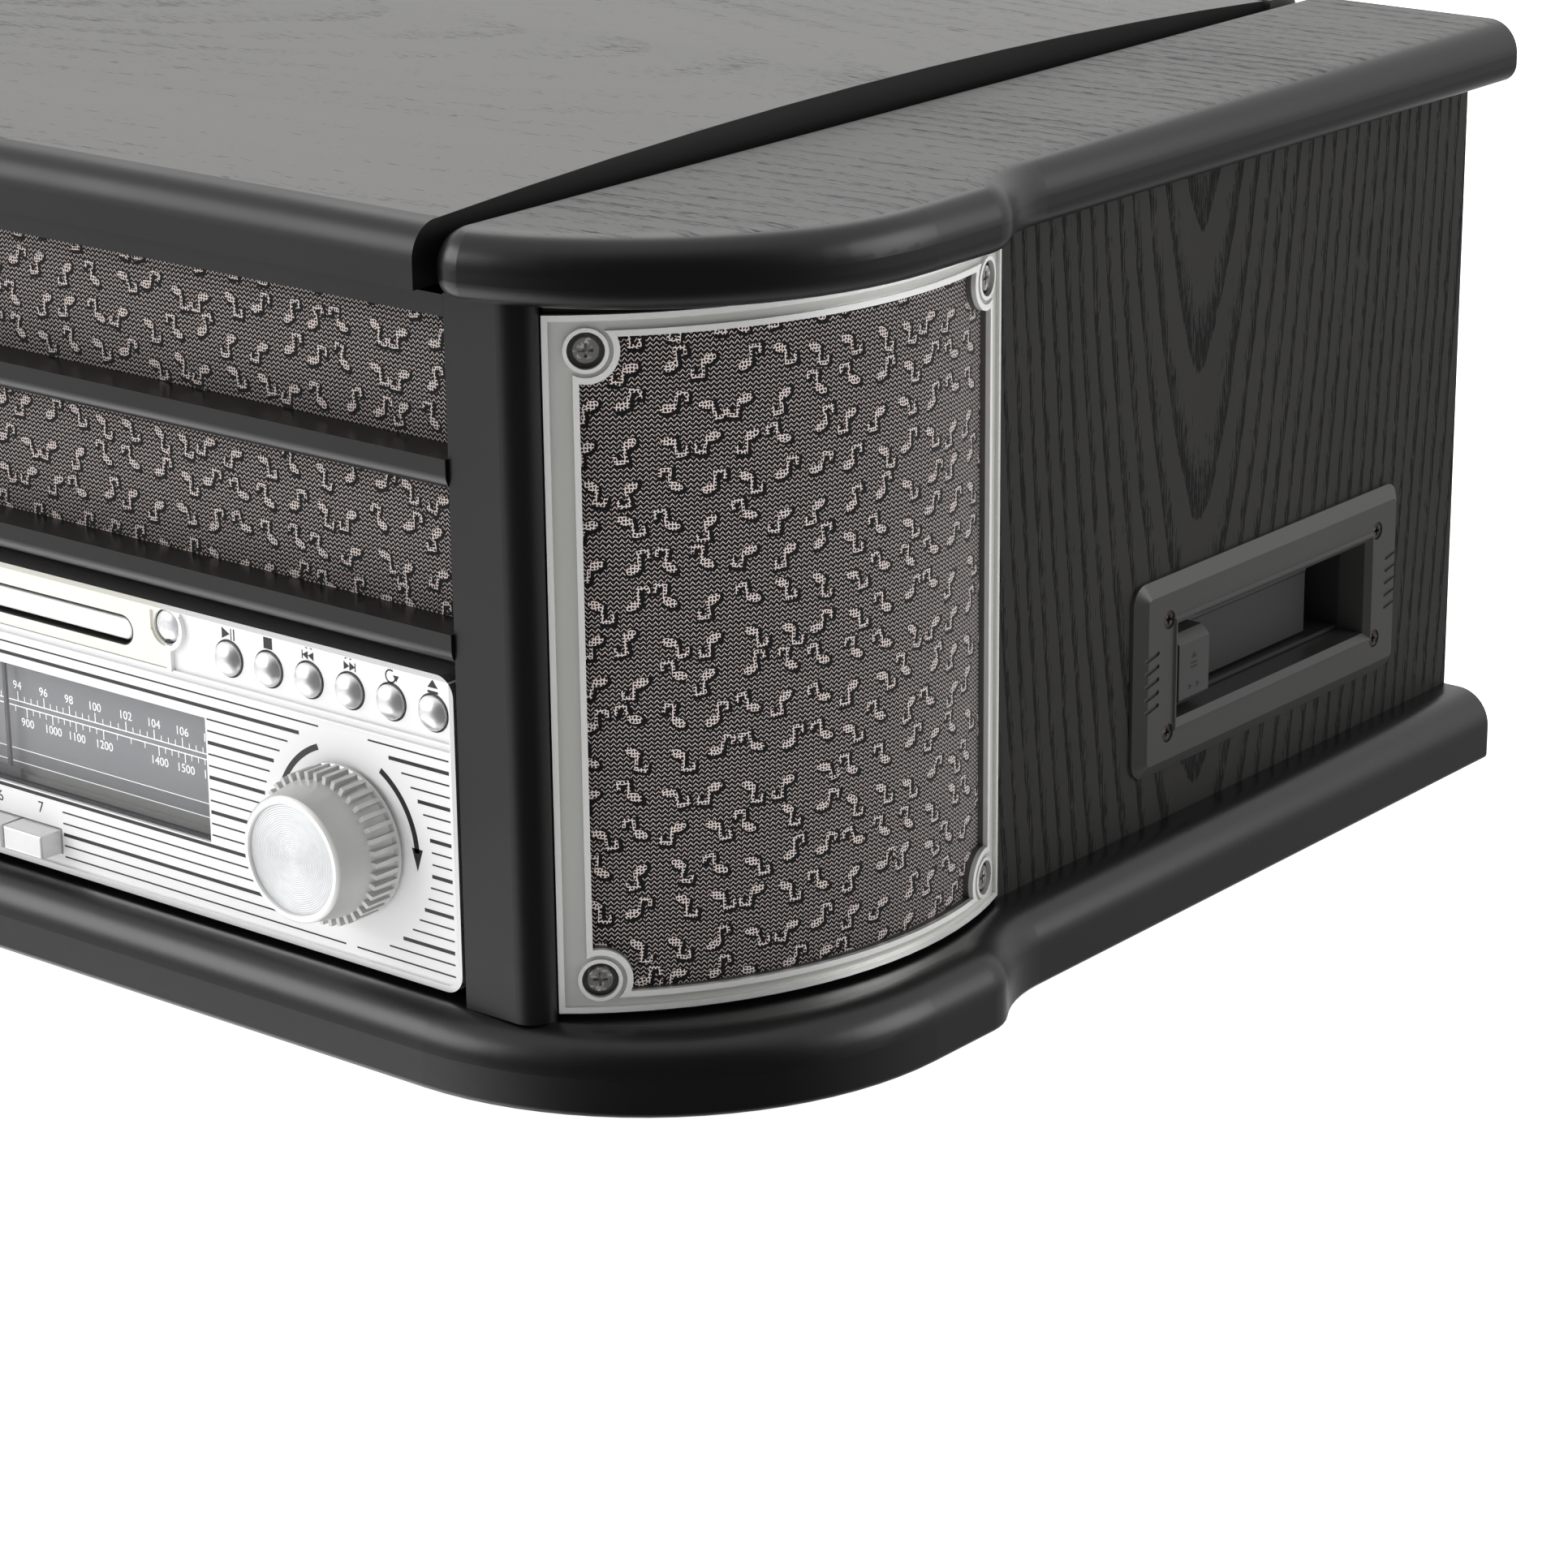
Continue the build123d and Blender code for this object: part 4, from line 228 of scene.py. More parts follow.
class Finish(Shading):
    """A procedural material: its shader and a point's place on the object."""

    def __init__(self, name, colour, roughness, constants=()):
        self.material = bpy.data.materials.new(name)
        self.material.use_nodes = True
        super().__init__(self.material.node_tree)
        self.shader = self.tree.nodes["Principled BSDF"]
        self.set("Base Color", (*colour, 1))
        self.set("Roughness", roughness)
        for socket, value in dict(constants).items():
            self.set(socket, value)
        self.x, self.y, self.z = self.split(self.node("TexCoord", {}, {}, "Object"))

    def set(self, socket, value):
        self.feed(self.shader.inputs[socket], value)

    def noise(self, x, y, z, scale, detail=2.0):
        """Noise between 0 and 1 over a stretched place."""
        spot = self.node("CombineXYZ", {}, {0: x, 1: y, 2: z})
        return self.node("TexNoise", {}, {"Vector": spot, "Scale": scale, "Detail": detail})

    def grain(self, scale, detail=2.0):
        """Noise that is alike in every direction."""
        return self.noise(self.x, self.y, self.z, scale, detail)

    def mix(self, share, first, second, blend="MIX"):
        """A colour between first and second."""
        colours = [(*c, 1) if isinstance(c, tuple) else c for c in (first, second)]
        settings = {"data_type": "RGBA", "blend_type": blend}
        return self.node("Mix", settings, {0: share, 6: colours[0], 7: colours[1]}, 2)

    def bump(self, height, depth, strength=1.0):
        """Raises the surface by height, up to depth metres."""
        made = self.node("Bump", {}, {"Height": height, "Distance": depth, "Strength": strength})
        self.set("Normal", made)


bpy.ops.mesh.primitive_plane_add(size=14, location=(0, 0, 0))
floor = bpy.context.object
floor.name = "studio_floor"
floor.visible_glossy = False
floor_paint = Finish("floor_paint", (0.9, 0.9, 0.9), 0.9, {
    "Specular IOR Level": 0.0, "Emission Color": (1, 1, 1, 1), "Emission Strength": 0.95})
floor.data.materials.append(floor_paint.material)

# ----------------------------------------------------------------------------------------
# Side panels
# Fibreboard with a veneer of open-pored ash, stained black and sealed with a thin satin coat.
# The grain stands upright, and its arches point down in the middle of each panel.
# ----------------------------------------------------------------------------------------

lacquer_black = (0.003, 0.003, 0.0033)
lacquer_roughness = 0.32


def dress(finish, *names):
    """Gives CAD nodes a finish."""
    for name in names:
        for slot in nodes[name].material_slots:
            slot.material = finish.material


def veneer(name, along, across, wood, pore, roughness, rings):
    """Open-pored veneer whose grain runs along one axis and arches across another.

    rings holds the tree's middle, the arches' centre, taper, tip and drift, the rings' pitch and
    phase, and how sparse, banded, patchy, strong and deep the pores are.  The board's broad face
    is at the place face.  Below the height edge and beyond the width end it is lacquered smooth.
    """
    finish = Finish(name, wood, roughness, {"Specular IOR Level": rings["shine"]})
    run = getattr(finish, along)
    through = getattr(finish, "xyz".replace(along, "").replace(across, ""))
    width = getattr(finish, across) - rings["middle"] + abs(through) - rings["face"]

    def streaks(lengthwise, crosswise, layer, detail=2.0):
        """Noise with so many waves in a metre along the grain and across it."""
        return finish.noise(run * lengthwise, width * crosswise, layer, 1.0, detail)

    # Each year's ring round the tree's middle is cut into an arch along the grain.
    drift = streaks(6, 24, 0.3) - 0.5
    ripple = streaks(40, 220, 0.7) - 0.5
    reach = (run - rings["centre"]) * rings["taper"]
    tip = rings["tip"]
    radius = (abs(width) ** tip + abs(reach) ** tip) ** (1 / tip)
    label = (radius + drift * rings["drift"] + ripple * 0.0011) / rings["pitch"] + rings["phase"]
    season = label % 1.0

    # Pores are dashes along the grain, which crowd towards each ring's end and lie in patches.
    early = finish.ramp(season, 0.25, 0.93) * finish.ramp(season, 1.0, 0.96)
    dashes = streaks(150, 2500, 0.1, 1.5)
    hairs = streaks(330, 4600, 0.9, 1.0)
    stretch = streaks(22, 330, 0.2) - 0.5
    cloud = streaks(4, 30, 0.5) * 0.4 + 0.8
    edge = rings["sparse"] - early * rings["bands"] - stretch * 0.16 + (cloud - 1) * rings["patchy"]
    on_skin = (finish.z > rings["edge"]) * (abs(finish.x) < rings["end"])
    pores = finish.ramp(dashes * 0.72 + hairs * 0.28 - edge, 0.0, 0.045) * on_skin

    grey = finish.node("CombineColor", {}, {0: cloud, 1: cloud, 2: cloud})
    shaded = finish.mix(pores * rings["contrast"], wood, pore)
    shaded = finish.mix(1.0, shaded, grey, "MULTIPLY")
    finish.set("Base Color", finish.mix(on_skin, lacquer_black, shaded))
    skin_rougher = on_skin * (roughness - lacquer_roughness)
    finish.set("Roughness", pores * 0.25 + skin_rougher + lacquer_roughness)
    finish.bump(1 - pores, rings["depth"], 0.6)
    return finish


no_end = 1.0
side_rings = {"middle": 0.0505, "centre": 0.486, "taper": 0.13, "tip": 1.6, "drift": 0.0030,
              "pitch": 0.0046, "phase": 0.26,
              "sparse": 0.68, "bands": 0.27, "patchy": 0.2, "contrast": 1.0, "depth": 0.00014,
              "face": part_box("side_panel_right")[1].x, "edge": 0.0, "end": no_end,
              "shine": 0.20}
side_veneer = veneer("black_ash_side", "z", "y", (0.0160, 0.0152, 0.0140),
                     (0.002, 0.002, 0.002), 0.46, side_rings)
dress(side_veneer, "side_panel_left", "side_panel_right")

# ----------------------------------------------------------------------------------------
# Lid board and rear rail
# The same veneer lies flat here, with its grain from side to side, in a lighter colour than on
# the side panels: painted light for the glare on the flat tops.  On the lid it stops at a fine
# seam where the board's moulded edge starts, and that edge is lacquered smooth.
# ----------------------------------------------------------------------------------------

lid_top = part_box("lid_board")[1]
moulded_edge, end_seam = 0.0060, 0.0004
lid_rings = {"middle": -0.020, "centre": -0.80, "taper": 0.14, "tip": 2.0, "drift": 0.007,
             "pitch": 0.0058, "phase": 0.2,
             "sparse": 0.655, "bands": 0.09, "patchy": 0.9, "contrast": 0.95, "depth": 0.00011,
             "face": lid_top.z, "edge": lid_top.z - moulded_edge, "end": lid_top.x - end_seam,
             "shine": 0.42}
# Painted light: the lid's wood colour is lighter than the side panels'.
lid_veneer = veneer("black_ash_lid", "x", "y", (0.068, 0.065, 0.061),
                    (0.003, 0.003, 0.003), 0.36, lid_rings)
dress(lid_veneer, "lid_board")
rail_rings = dict(lid_rings, edge=0.0, end=no_end)
# Painted light: the rail's wood colour is lighter than the side panels'.
rail_veneer = veneer("black_ash_rail", "x", "y", (0.045, 0.0438, 0.042),
                     (0.010, 0.010, 0.010), 0.40, rail_rings)
dress(rail_veneer, "rear_rail")

# ----------------------------------------------------------------------------------------
# Shoulders
# The boards at both sides of the lid have veneered tops too, lighter than the side panels' as
# painted light for the glare on them.  The moulded edge that follows the bow is of solid wood
# under black lacquer.
# ----------------------------------------------------------------------------------------

shoulder_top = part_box("shoulders")[1].z
shoulder_seam = 0.0006
shoulder_rings = {"middle": -0.22, "centre": 0.75, "taper": 0.16, "tip": 2.0, "drift": 0.006,
                  "pitch": 0.0060, "phase": 0.6,
                  "sparse": 0.63, "bands": 0.11, "patchy": 0.7, "contrast": 1.0, "depth": 0.00014,
                  "face": shoulder_top, "edge": shoulder_top - shoulder_seam, "end": no_end,
                  "shine": 0.38}
# Painted light: the shoulders' wood colour is lighter than the side panels'.
shoulder_veneer = veneer("black_ash_shoulder", "x", "y", (0.046, 0.0445, 0.042),
                         (0.002, 0.002, 0.002), 0.42, shoulder_rings)
dress(shoulder_veneer, "shoulders")

# ----------------------------------------------------------------------------------------
# Base board, front frame and lid moulding
# Moulded wood, filled, sprayed with black lacquer and rubbed down to a low gloss.  The lid's
# moulding is a little duller than the rest.
# ----------------------------------------------------------------------------------------


def lacquer(name, shine, roughness):
    """Smooth black lacquer, slightly uneven."""
    finish = Finish(name, lacquer_black, roughness, {"Specular IOR Level": shine})
    patches = finish.grain(18.0, 3.0)
    finish.set("Roughness", patches * 0.14 + roughness - 0.07)
    finish.bump(finish.grain(260.0), 0.00006, 0.5)
    return finish


dress(lacquer("black_lacquer", 0.42, lacquer_roughness), "base_board", "front_frame")
dress(lacquer("lid_lacquer", 0.34, 0.42), "lid_moulding")

# ----------------------------------------------------------------------------------------
# Grille cloth
# Knitted cloth in two threads, a taupe one over a near-black one, with small quavers knitted
# in.  Here it is glued over the flat board behind the slats.
# ----------------------------------------------------------------------------------------


def knitted(name, across, up, low):
    """Knitted cloth, bare below low; across and up give a point's place on it in metres."""
    finish = Finish(name, (0.2, 0.18, 0.17), 0.85, {
        "Specular IOR Level": 0.15, "Sheen Weight": 0.15, "Sheen Roughness": 0.5})
    stitch_width, row_height = 0.00142, 0.00108
    u, v = across(finish), up(finish)
    wobble = finish.noise(u, v, 0.0, 420.0, 1.0) - 0.5
    leg = abs(u / stitch_width % 1.0 - 0.5)
    row = (v / row_height + leg * 1.5 + wobble * 0.5) % 1.0
    thread = finish.ramp(abs(row - 0.5), 0.15, 0.06) * finish.ramp(leg, 0.50, 0.40)
    fuzz = finish.noise(u, v, 0.4, 2600.0, 2.0)

    # One quaver lies near the middle of each cell, tilted a little and sometimes mirrored.
    cell, units_in_metre, most_tilt = 0.0090, 1110, 0.5
    spread = finish.node("CombineXYZ", {}, {0: u, 1: v, 2: 0.0})
    settings = {"voronoi_dimensions": "2D"}
    inputs = {"Vector": spread, "Scale": 1 / cell, "Randomness": 0.5}
    colour = finish.node("TexVoronoi", settings, inputs, "Color")
    centre = finish.node("TexVoronoi", settings, inputs, "Position")
    middle_u, middle_v = finish.split(centre)[:2]
    chance, side, tilt = [finish.node("SeparateColor", {}, {0: colour}, part) for part in range(3)]
    offset = finish.node("CombineXYZ", {}, {0: u - middle_u, 1: v - middle_v, 2: 0.0})
    tilted = finish.node("VectorRotate", {"rotation_type": "Z_AXIS"},
                         {"Vector": offset, "Angle": (tilt - 0.5) * most_tilt})
    note_u, note_v = finish.split(tilted)[:2]
    flip_a = (chance > 0.5) * 2 - 1
    flip_b = (side > 0.5) * 2 - 1
    a = note_u * units_in_metre * flip_a + wobble * 0.9
    b = note_v * units_in_metre * flip_b + wobble * 0.7

    def quaver(a, b, grow):
        """1 inside a quaver about 5 units wide, made fatter by grow."""
        def bar(centre_a, centre_b, half_a, half_b):
            return (abs(a - centre_a) < half_a + grow) * (abs(b - centre_b) < half_b + grow)

        head_a = (a + 1.5) / (1.9 + grow)
        head_b = (b + 1.9 - (a + 1.5) * 0.25) / (1.2 + grow)
        head = head_a * head_a + head_b * head_b < 1
        stem = bar(0.0, 0.3, 0.42, 2.4)
        flag = bar(1.4, 2.3, 1.3, 0.5)
        tail = bar(2.6, 1.4, 0.45, 1.0)
        return head.most(stem).most(flag).most(tail)

    note = quaver(a, b, 0.0)
    shadow = quaver(a - flip_a * 0.40, b + flip_b * 0.32, 0.60)
    settings = {"voronoi_dimensions": "2D", "feature": "DISTANCE_TO_EDGE"}
    inputs = {"Vector": spread, "Scale": 1250.0, "Randomness": 0.55}
    filled = finish.ramp(finish.node("TexVoronoi", settings, inputs, "Distance"), 0.23, 0.11)
    light = finish.mix(fuzz, (0.32, 0.27, 0.25), (0.82, 0.72, 0.68))
    outside = (1 - shadow.most(note)) * thread
    lit = outside.most(note * filled) * (v > low)
    finish.set("Base Color", finish.mix(lit, (0.0025, 0.002, 0.0025), light))
    finish.bump(lit + fuzz * 0.3, 0.0002, 0.6)
    return finish


lowest_knit = 0.1135
front_cloth = knitted("front_cloth", lambda f: f.x, lambda f: f.z, lowest_knit)
dress(front_cloth, "grille_cloth")

# ----------------------------------------------------------------------------------------
# Loudspeaker cloths
# The same cloth, cut flat and stretched over the curved baffle at each side of the cabinet.
# It bellies out a little in the middle, where nothing is behind it.
# ----------------------------------------------------------------------------------------

bow_axis = (0.134, -0.072)
cloth_radius = 0.10295
cloth_turn = (-48.6, 16.8)
cloth_low, cloth_high = 0.0345, 0.1895
cloth_belly, cloth_thickness = 0.0007, 0.0004
arc_length = math.radians(cloth_turn[1] - cloth_turn[0]) * cloth_radius
cloth_height = cloth_high - cloth_low


def uv_along(part, length):
    """How a finish finds a point's place along one side of a flat sheet of this length."""
    return lambda f: f.split(f.node("TexCoord", {}, {}, "UV"))[part] * length


for name, side in (("speaker_cloth_right", 1), ("speaker_cloth_left", -1)):
    bpy.ops.object.select_all(action="DESELECT")
    bpy.ops.mesh.primitive_grid_add(x_subdivisions=72, y_subdivisions=40, size=1, calc_uvs=True)
    cloth = bpy.context.object
    cloth.name = name
    for point in cloth.data.vertices:
        share_u, share_v = point.co.x + 0.5, point.co.y + 0.5
        angle = math.radians(cloth_turn[0] + share_u * (cloth_turn[1] - cloth_turn[0]))
        belly = cloth_belly * math.sin(math.pi * share_u) * math.sin(math.pi * share_v)
        radius = cloth_radius + belly
        point.co = (side * (bow_axis[0] + radius * math.cos(angle)),
                    bow_axis[1] + radius * math.sin(angle),
                    cloth_low + share_v * cloth_height)
    if side < 0:
        bpy.ops.object.mode_set(mode="EDIT")
        bpy.ops.mesh.select_all(action="SELECT")
        bpy.ops.mesh.flip_normals()
        bpy.ops.object.mode_set(mode="OBJECT")
    thick = cloth.modifiers.new("thickness", "SOLIDIFY")
    thick.thickness = cloth_thickness
    thick.offset = -1
    bpy.ops.object.modifier_apply(modifier="thickness")
    bpy.ops.object.shade_smooth_by_angle(angle=math.radians(40))
    bow_cloth = knitted(name + "_knit", uv_along(0, arc_length), uv_along(1, cloth_height), -1.0)
    cloth.data.materials.append(bow_cloth.material)
    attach(cloth, "cabinet")

# ----------------------------------------------------------------------------------------
# Baffles and dividers
# Bent and flat boards of dark fibreboard, glued into the cabinet.  They are left bare, since
# the cloth and the cabinet hide them.
# ----------------------------------------------------------------------------------------

baffle_board = Finish("bare_baffle", (0.02, 0.02, 0.02), 0.8)
baffle_board.set("Roughness", baffle_board.grain(300.0) * 0.2 + 0.7)
dress(baffle_board, "speaker_baffles", "dividers")

# ----------------------------------------------------------------------------------------
# Loudspeaker frames
# Each frame is a thin bowed moulding in satin silver.  A bead runs round both of its edges,
# and a cup in each corner takes a screw.  The beads carry a painted highlight, and the cups
# and the frame's inner edge a painted shade.
# ----------------------------------------------------------------------------------------

# How far from the bow's axis the bead's painted highlight starts and is full, and the painted
# shade of the cups' floors likewise.
bead_highlight_reach = (0.10530, 0.10548)
cup_shade_reach = (0.10440, 0.10420)


def away(across, up):
    """A point's distance from an axis, from its two offsets."""
    return (across ** 2 + up ** 2) ** 0.5


frame_silver = Finish("satin_silver_frame", (0.66, 0.66, 0.63), 0.34, {"Metallic": 0.6})
bow_reach = away(abs(frame_silver.x) - bow_axis[0], frame_silver.y - bow_axis[1])
painted_bead_highlight = frame_silver.ramp(bow_reach, *bead_highlight_reach)
painted_cup_shade = frame_silver.ramp(bow_reach, *cup_shade_reach)
# Painted highlight on the beads, and painted shade in the cups and along the inner edge.
flat_and_bead_highlight = frame_silver.mix(painted_bead_highlight, (0.64, 0.64, 0.61), (1.0, 1.0, 0.98))
frame_silver.set("Base Color", frame_silver.mix(painted_cup_shade, flat_and_bead_highlight, (0.10, 0.10, 0.095)))
frame_silver.set("Roughness", frame_silver.grain(40.0, 3.0) * 0.10 + 0.30 - painted_bead_highlight * 0.10)
frame_silver.bump(frame_silver.grain(1800.0, 1.0), 0.00001, 0.6)
dress(frame_silver, "speaker_frames")

# ----------------------------------------------------------------------------------------
# Trim screws
# Cross-head screws.  Four of worn steel hold each loudspeaker frame at the front, and those
# of the cassette bezel, further back, are bronzed.
# ----------------------------------------------------------------------------------------

screw_metal = Finish("bronzed_steel", (0.20, 0.16, 0.14), 0.34, {"Metallic": 0.7})
screw_wear = screw_metal.grain(700.0, 3.0)
worn = screw_metal.ramp(screw_wear, 0.50, 0.68)
steel_screw = screw_metal.mix(worn, (0.26, 0.25, 0.24), (0.68, 0.66, 0.64))
bronzed_screw = screw_metal.mix(worn, (0.035, 0.028, 0.025), (0.16, 0.12, 0.10))
screw_metal.set("Base Color", screw_metal.mix(screw_metal.y < 0, bronzed_screw, steel_screw))
screw_metal.set("Roughness", screw_wear * 0.3 + 0.2)
dress(screw_metal, "trim_screws")

# ----------------------------------------------------------------------------------------
# Fascia
# One moulding in bright silver paint with a metallic rim.  The plate round the CD tray is a
# warmer tone, and painted shade darkens the openings, a band round the tray's slot and the
# lenses' rings.
# ----------------------------------------------------------------------------------------


def middle(name):
    """The middle of a CAD node's box."""
    low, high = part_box(name)
    return (low + high) / 2


fascia_face = -0.1610
knob_axis = (middle("tuning_knob").x, middle("tuning_knob").z)
lens_axis = (0.0820, 0.1020)
lens_ring = 0.00468
plate_half, plate_low = 0.0815, 0.0916
tray_half, tray_z, tray_shade_reach = 0.0667, middle("cd_tray").z, 0.0038
# Half the width, the foot and the top of the panel inside the rim, and of the rim's own foot.
rim_inside = (0.1722, 0.0325, 0.1058)
rim_foot = (0.1727, 0.0321, 0.1063)
# How far behind the fascia's face a point is still on the plate, or already in a ring or an
# opening, where the painted shade starts.
plate_skin, ring_skin, opening_skin = 0.0004, 0.0002, 0.0009


def in_panel(finish, half, low, high):
    """1 inside a panel that reaches half to each side of the middle and from low to high."""
    return (abs(finish.x) < half) * (finish.z > low) * (finish.z < high)


silver_paint = Finish("silver_paint", (0.88, 0.88, 0.88), 0.46, {"Specular IOR Level": 0.3})
on_plate = (abs(silver_paint.x) < plate_half) * (silver_paint.z > plate_low)
on_plate = on_plate * (silver_paint.y < fascia_face + plate_skin)
# Painted shade in the openings, in and round the tray's slot and in the lenses' rings.
opening_shade = in_panel(silver_paint, *rim_inside) * (silver_paint.y > fascia_face + opening_skin)
slot_shade = away((abs(silver_paint.x) - tray_half).most(0.0), silver_paint.z - tray_z) < tray_shade_reach
ring_shade = away(abs(silver_paint.x) - lens_axis[0], silver_paint.z - lens_axis[1]) < lens_ring
ring_shade = ring_shade * (silver_paint.y > fascia_face + ring_skin)
painted_shade = opening_shade.most(slot_shade).most(ring_shade)
painted = silver_paint.mix(on_plate, (0.73, 0.73, 0.735), (0.73, 0.72, 0.655))
silver_paint.set("Base Color", silver_paint.mix(painted_shade, painted, (0.012, 0.012, 0.012)))
inside_rim = in_panel(silver_paint, *rim_foot)
silver_paint.set("Metallic", 0.9 - inside_rim * 0.9)
silver_paint.set("Roughness", silver_paint.grain(14.0) * 0.12 + 0.16 + inside_rim * 0.18)
silver_paint.bump(silver_paint.grain(2600.0, 1.0), 0.00001, 0.5)
dress(silver_paint, "fascia")

# ----------------------------------------------------------------------------------------
# Fascia lines
# Black lines are screen-printed across the fascia, every third one thick.  They stop at the
# window and the keys and keep clear of a circle round each knob.
# ----------------------------------------------------------------------------------------

ink_film = 0.00003
print_depth = fascia_face - ink_film
black_ink_and_gap_shade = Finish("black_ink_and_gap_shade", (0.014, 0.013, 0.016), 0.5)
black_ink_and_gap_shade.set("Roughness", black_ink_and_gap_shade.grain(3000.0, 1.0) * 0.2 + 0.4)


def strip(left, right, low, high, depth=print_depth):
    """A flat printed bar that faces forwards."""
    bpy.ops.mesh.primitive_plane_add(size=1, rotation=(math.pi / 2, 0, 0),
                                     location=((left + right) / 2, depth, (low + high) / 2))
    bar = bpy.context.object
    bar.scale = (right - left, high - low, 1)
    return bar


def joined(marks):
    """One mesh of several marks, with its place in its points."""
    bpy.ops.object.select_all(action="DESELECT")
    for mark in marks:
        mark.select_set(True)
    bpy.context.view_layer.objects.active = marks[0]
    if len(marks) > 1:
        bpy.ops.object.join()
    bpy.ops.object.transform_apply(location=True, rotation=True, scale=True)
    return bpy.context.object


def printed(name, marks, finish, body):
    """Joins marks into one thin layer of ink on what lies behind them."""
    layer = joined(marks)
    layer.name = name
    film = layer.modifiers.new("film", "SOLIDIFY")
    film.thickness = ink_film
    film.offset = -1
    bpy.ops.object.modifier_apply(modifier="film")
    layer.data.materials.clear()
    layer.data.materials.append(finish.material)
    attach(layer, body)


first_line, line_pitch, line_end = 0.0403, 0.00292, 0.1712
half_thick, half_thin = 0.00046, 0.00021
key_ends = {1: 0.0410, -1: 0.0616}
keys_top, window_low, window_high, window_end = 0.0480, 0.0498, 0.0833, 0.0934
clear_radius = 0.0269
shortest_line = 0.0004

lines = []
for row in range(-2, 17):
    height = first_line + line_pitch * row
    half = half_thick if row % 3 == 0 else half_thin
    drop = abs(height - knob_axis[1])
    gap = math.sqrt(max(clear_radius ** 2 - drop ** 2, 0.0))
    for side in (1, -1):
        start = key_ends[side]
        if height > window_high or keys_top < height < window_low:
            start = 0.0
        elif height > window_low:
            start = window_end
        ends = [start, line_end]
        if gap:
            ends = [start, knob_axis[0] - gap, knob_axis[0] + gap, line_end]
        for near, far in zip(ends[::2], ends[1::2]):
            if far - near > shortest_line:
                left, right = sorted((side * near, side * far))
                lines.append(strip(left, right, height - half, height + half))
printed("fascia_lines", lines, black_ink_and_gap_shade, "cabinet")

# ----------------------------------------------------------------------------------------
# Knob arrows
# Two curved arrows are printed over each knob, one for each way of turning.  They are of the
# same black ink as the lines.
# ----------------------------------------------------------------------------------------

arrow_inner, arrow_outer = 0.0215, 0.0230
arrow_middle = (arrow_inner + arrow_outer) / 2


def wedge(x, z, width, length, turn, depth=print_depth):
    """A flat printed triangle that points up when turn is 0, to the right when it is 90."""
    bpy.ops.mesh.primitive_circle_add(vertices=3, radius=1, fill_type="NGON",
                                      location=(x, depth, z),
                                      rotation=(math.pi / 2, math.radians(turn), 0))
    made = bpy.context.object
    made.scale = (width / 1.732, length / 1.5, 1)
    return made


def arc(x, z, inner, outer, start, sweep, depth=print_depth):
    """A flat printed arc round x, z, from start degrees through sweep degrees."""
    bpy.ops.object.select_all(action="DESELECT")
    bpy.ops.mesh.primitive_plane_add(size=1, location=((inner + outer) / 2, 0, 0))
    made = bpy.context.object
    made.scale = (outer - inner, 0.00001, 1)
    bpy.ops.object.transform_apply(location=True, rotation=True, scale=True)
    bpy.ops.object.mode_set(mode="EDIT")
    bpy.ops.mesh.select_all(action="DESELECT")
    bpy.ops.mesh.select_mode(type="VERT")
    bpy.ops.object.mode_set(mode="OBJECT")
    for point in made.data.vertices:
        point.select = point.co.y > 0
    bpy.ops.object.mode_set(mode="EDIT")
    bpy.ops.mesh.spin(steps=24, angle=-math.radians(sweep), center=(0, 0, 0), axis=(0, 0, 1))
    bpy.ops.mesh.select_all(action="SELECT")
    bpy.ops.mesh.remove_doubles(threshold=0.000001)
    bpy.ops.mesh.normals_make_consistent(inside=False)
    bpy.ops.object.mode_set(mode="OBJECT")
    if made.data.polygons[0].normal.z < 0:
        made.data.flip_normals()
    made.rotation_euler = (math.pi / 2, -math.radians(start), 0)
    made.location = (x, depth, z)
    return made


arrows = []
for side in (1, -1):
    x, z = side * knob_axis[0], knob_axis[1]
    arrows.append(arc(x, z, arrow_inner, arrow_outer, start=112, sweep=54))
    arrows.append(arc(x, z, arrow_inner, arrow_outer, start=3, sweep=56))
    for angle, turn in ((168, 192), (1, 181)):
        tip = math.radians(angle)
        arrows.append(wedge(x + arrow_middle * math.cos(tip), z + arrow_middle * math.sin(tip),
                            0.0034, 0.0056, turn))
printed("knob_arrows", arrows, black_ink_and_gap_shade, "cabinet")

# ----------------------------------------------------------------------------------------
# Function keys
# Seven piano keys in silver like the fascia's.  Their numbers are printed on the fascia, each
# over its key.
# ----------------------------------------------------------------------------------------

key_names = ["function_key_" + str(number) for number in range(1, 8)]
key_silver = Finish("key_silver", (0.80, 0.80, 0.80), 0.32, {"Metallic": 0.45})
key_cloud = key_silver.grain(90.0, 3.0)
key_silver.set("Base Color", key_silver.mix(key_cloud, (0.64, 0.64, 0.64), (0.74, 0.74, 0.735)))
key_silver.set("Roughness", key_cloud * 0.12 + 0.26)
dress(key_silver, *key_names)


def digits(words, x, z, size, depth=print_depth):
    """Plain printed numbers, centred on x, z."""
    bpy.ops.object.text_add(rotation=(math.pi / 2, 0, 0))
    made = bpy.context.object
    made.data.body = words
    made.data.size = size
    made.data.align_x = "CENTER"
    made.data.align_y = "CENTER"
    made.data.resolution_u = 4
    bpy.ops.object.convert(target="MESH")
    made = bpy.context.object
    made.location = (x, depth, z)
    return made


number_z, number_size = 0.0456, 0.0042
numbers = [digits(name[-1], middle(name).x, number_z, number_size) for name in key_names]
printed("key_numbers", numbers, black_ink_and_gap_shade, "cabinet")

# ----------------------------------------------------------------------------------------
# CD buttons
# Six chromed domes, each in a thin ring of painted shade where the gap round it lies.  Over
# them are plain signs for play and pause, stop, back, forward, repeat and eject.
# ----------------------------------------------------------------------------------------

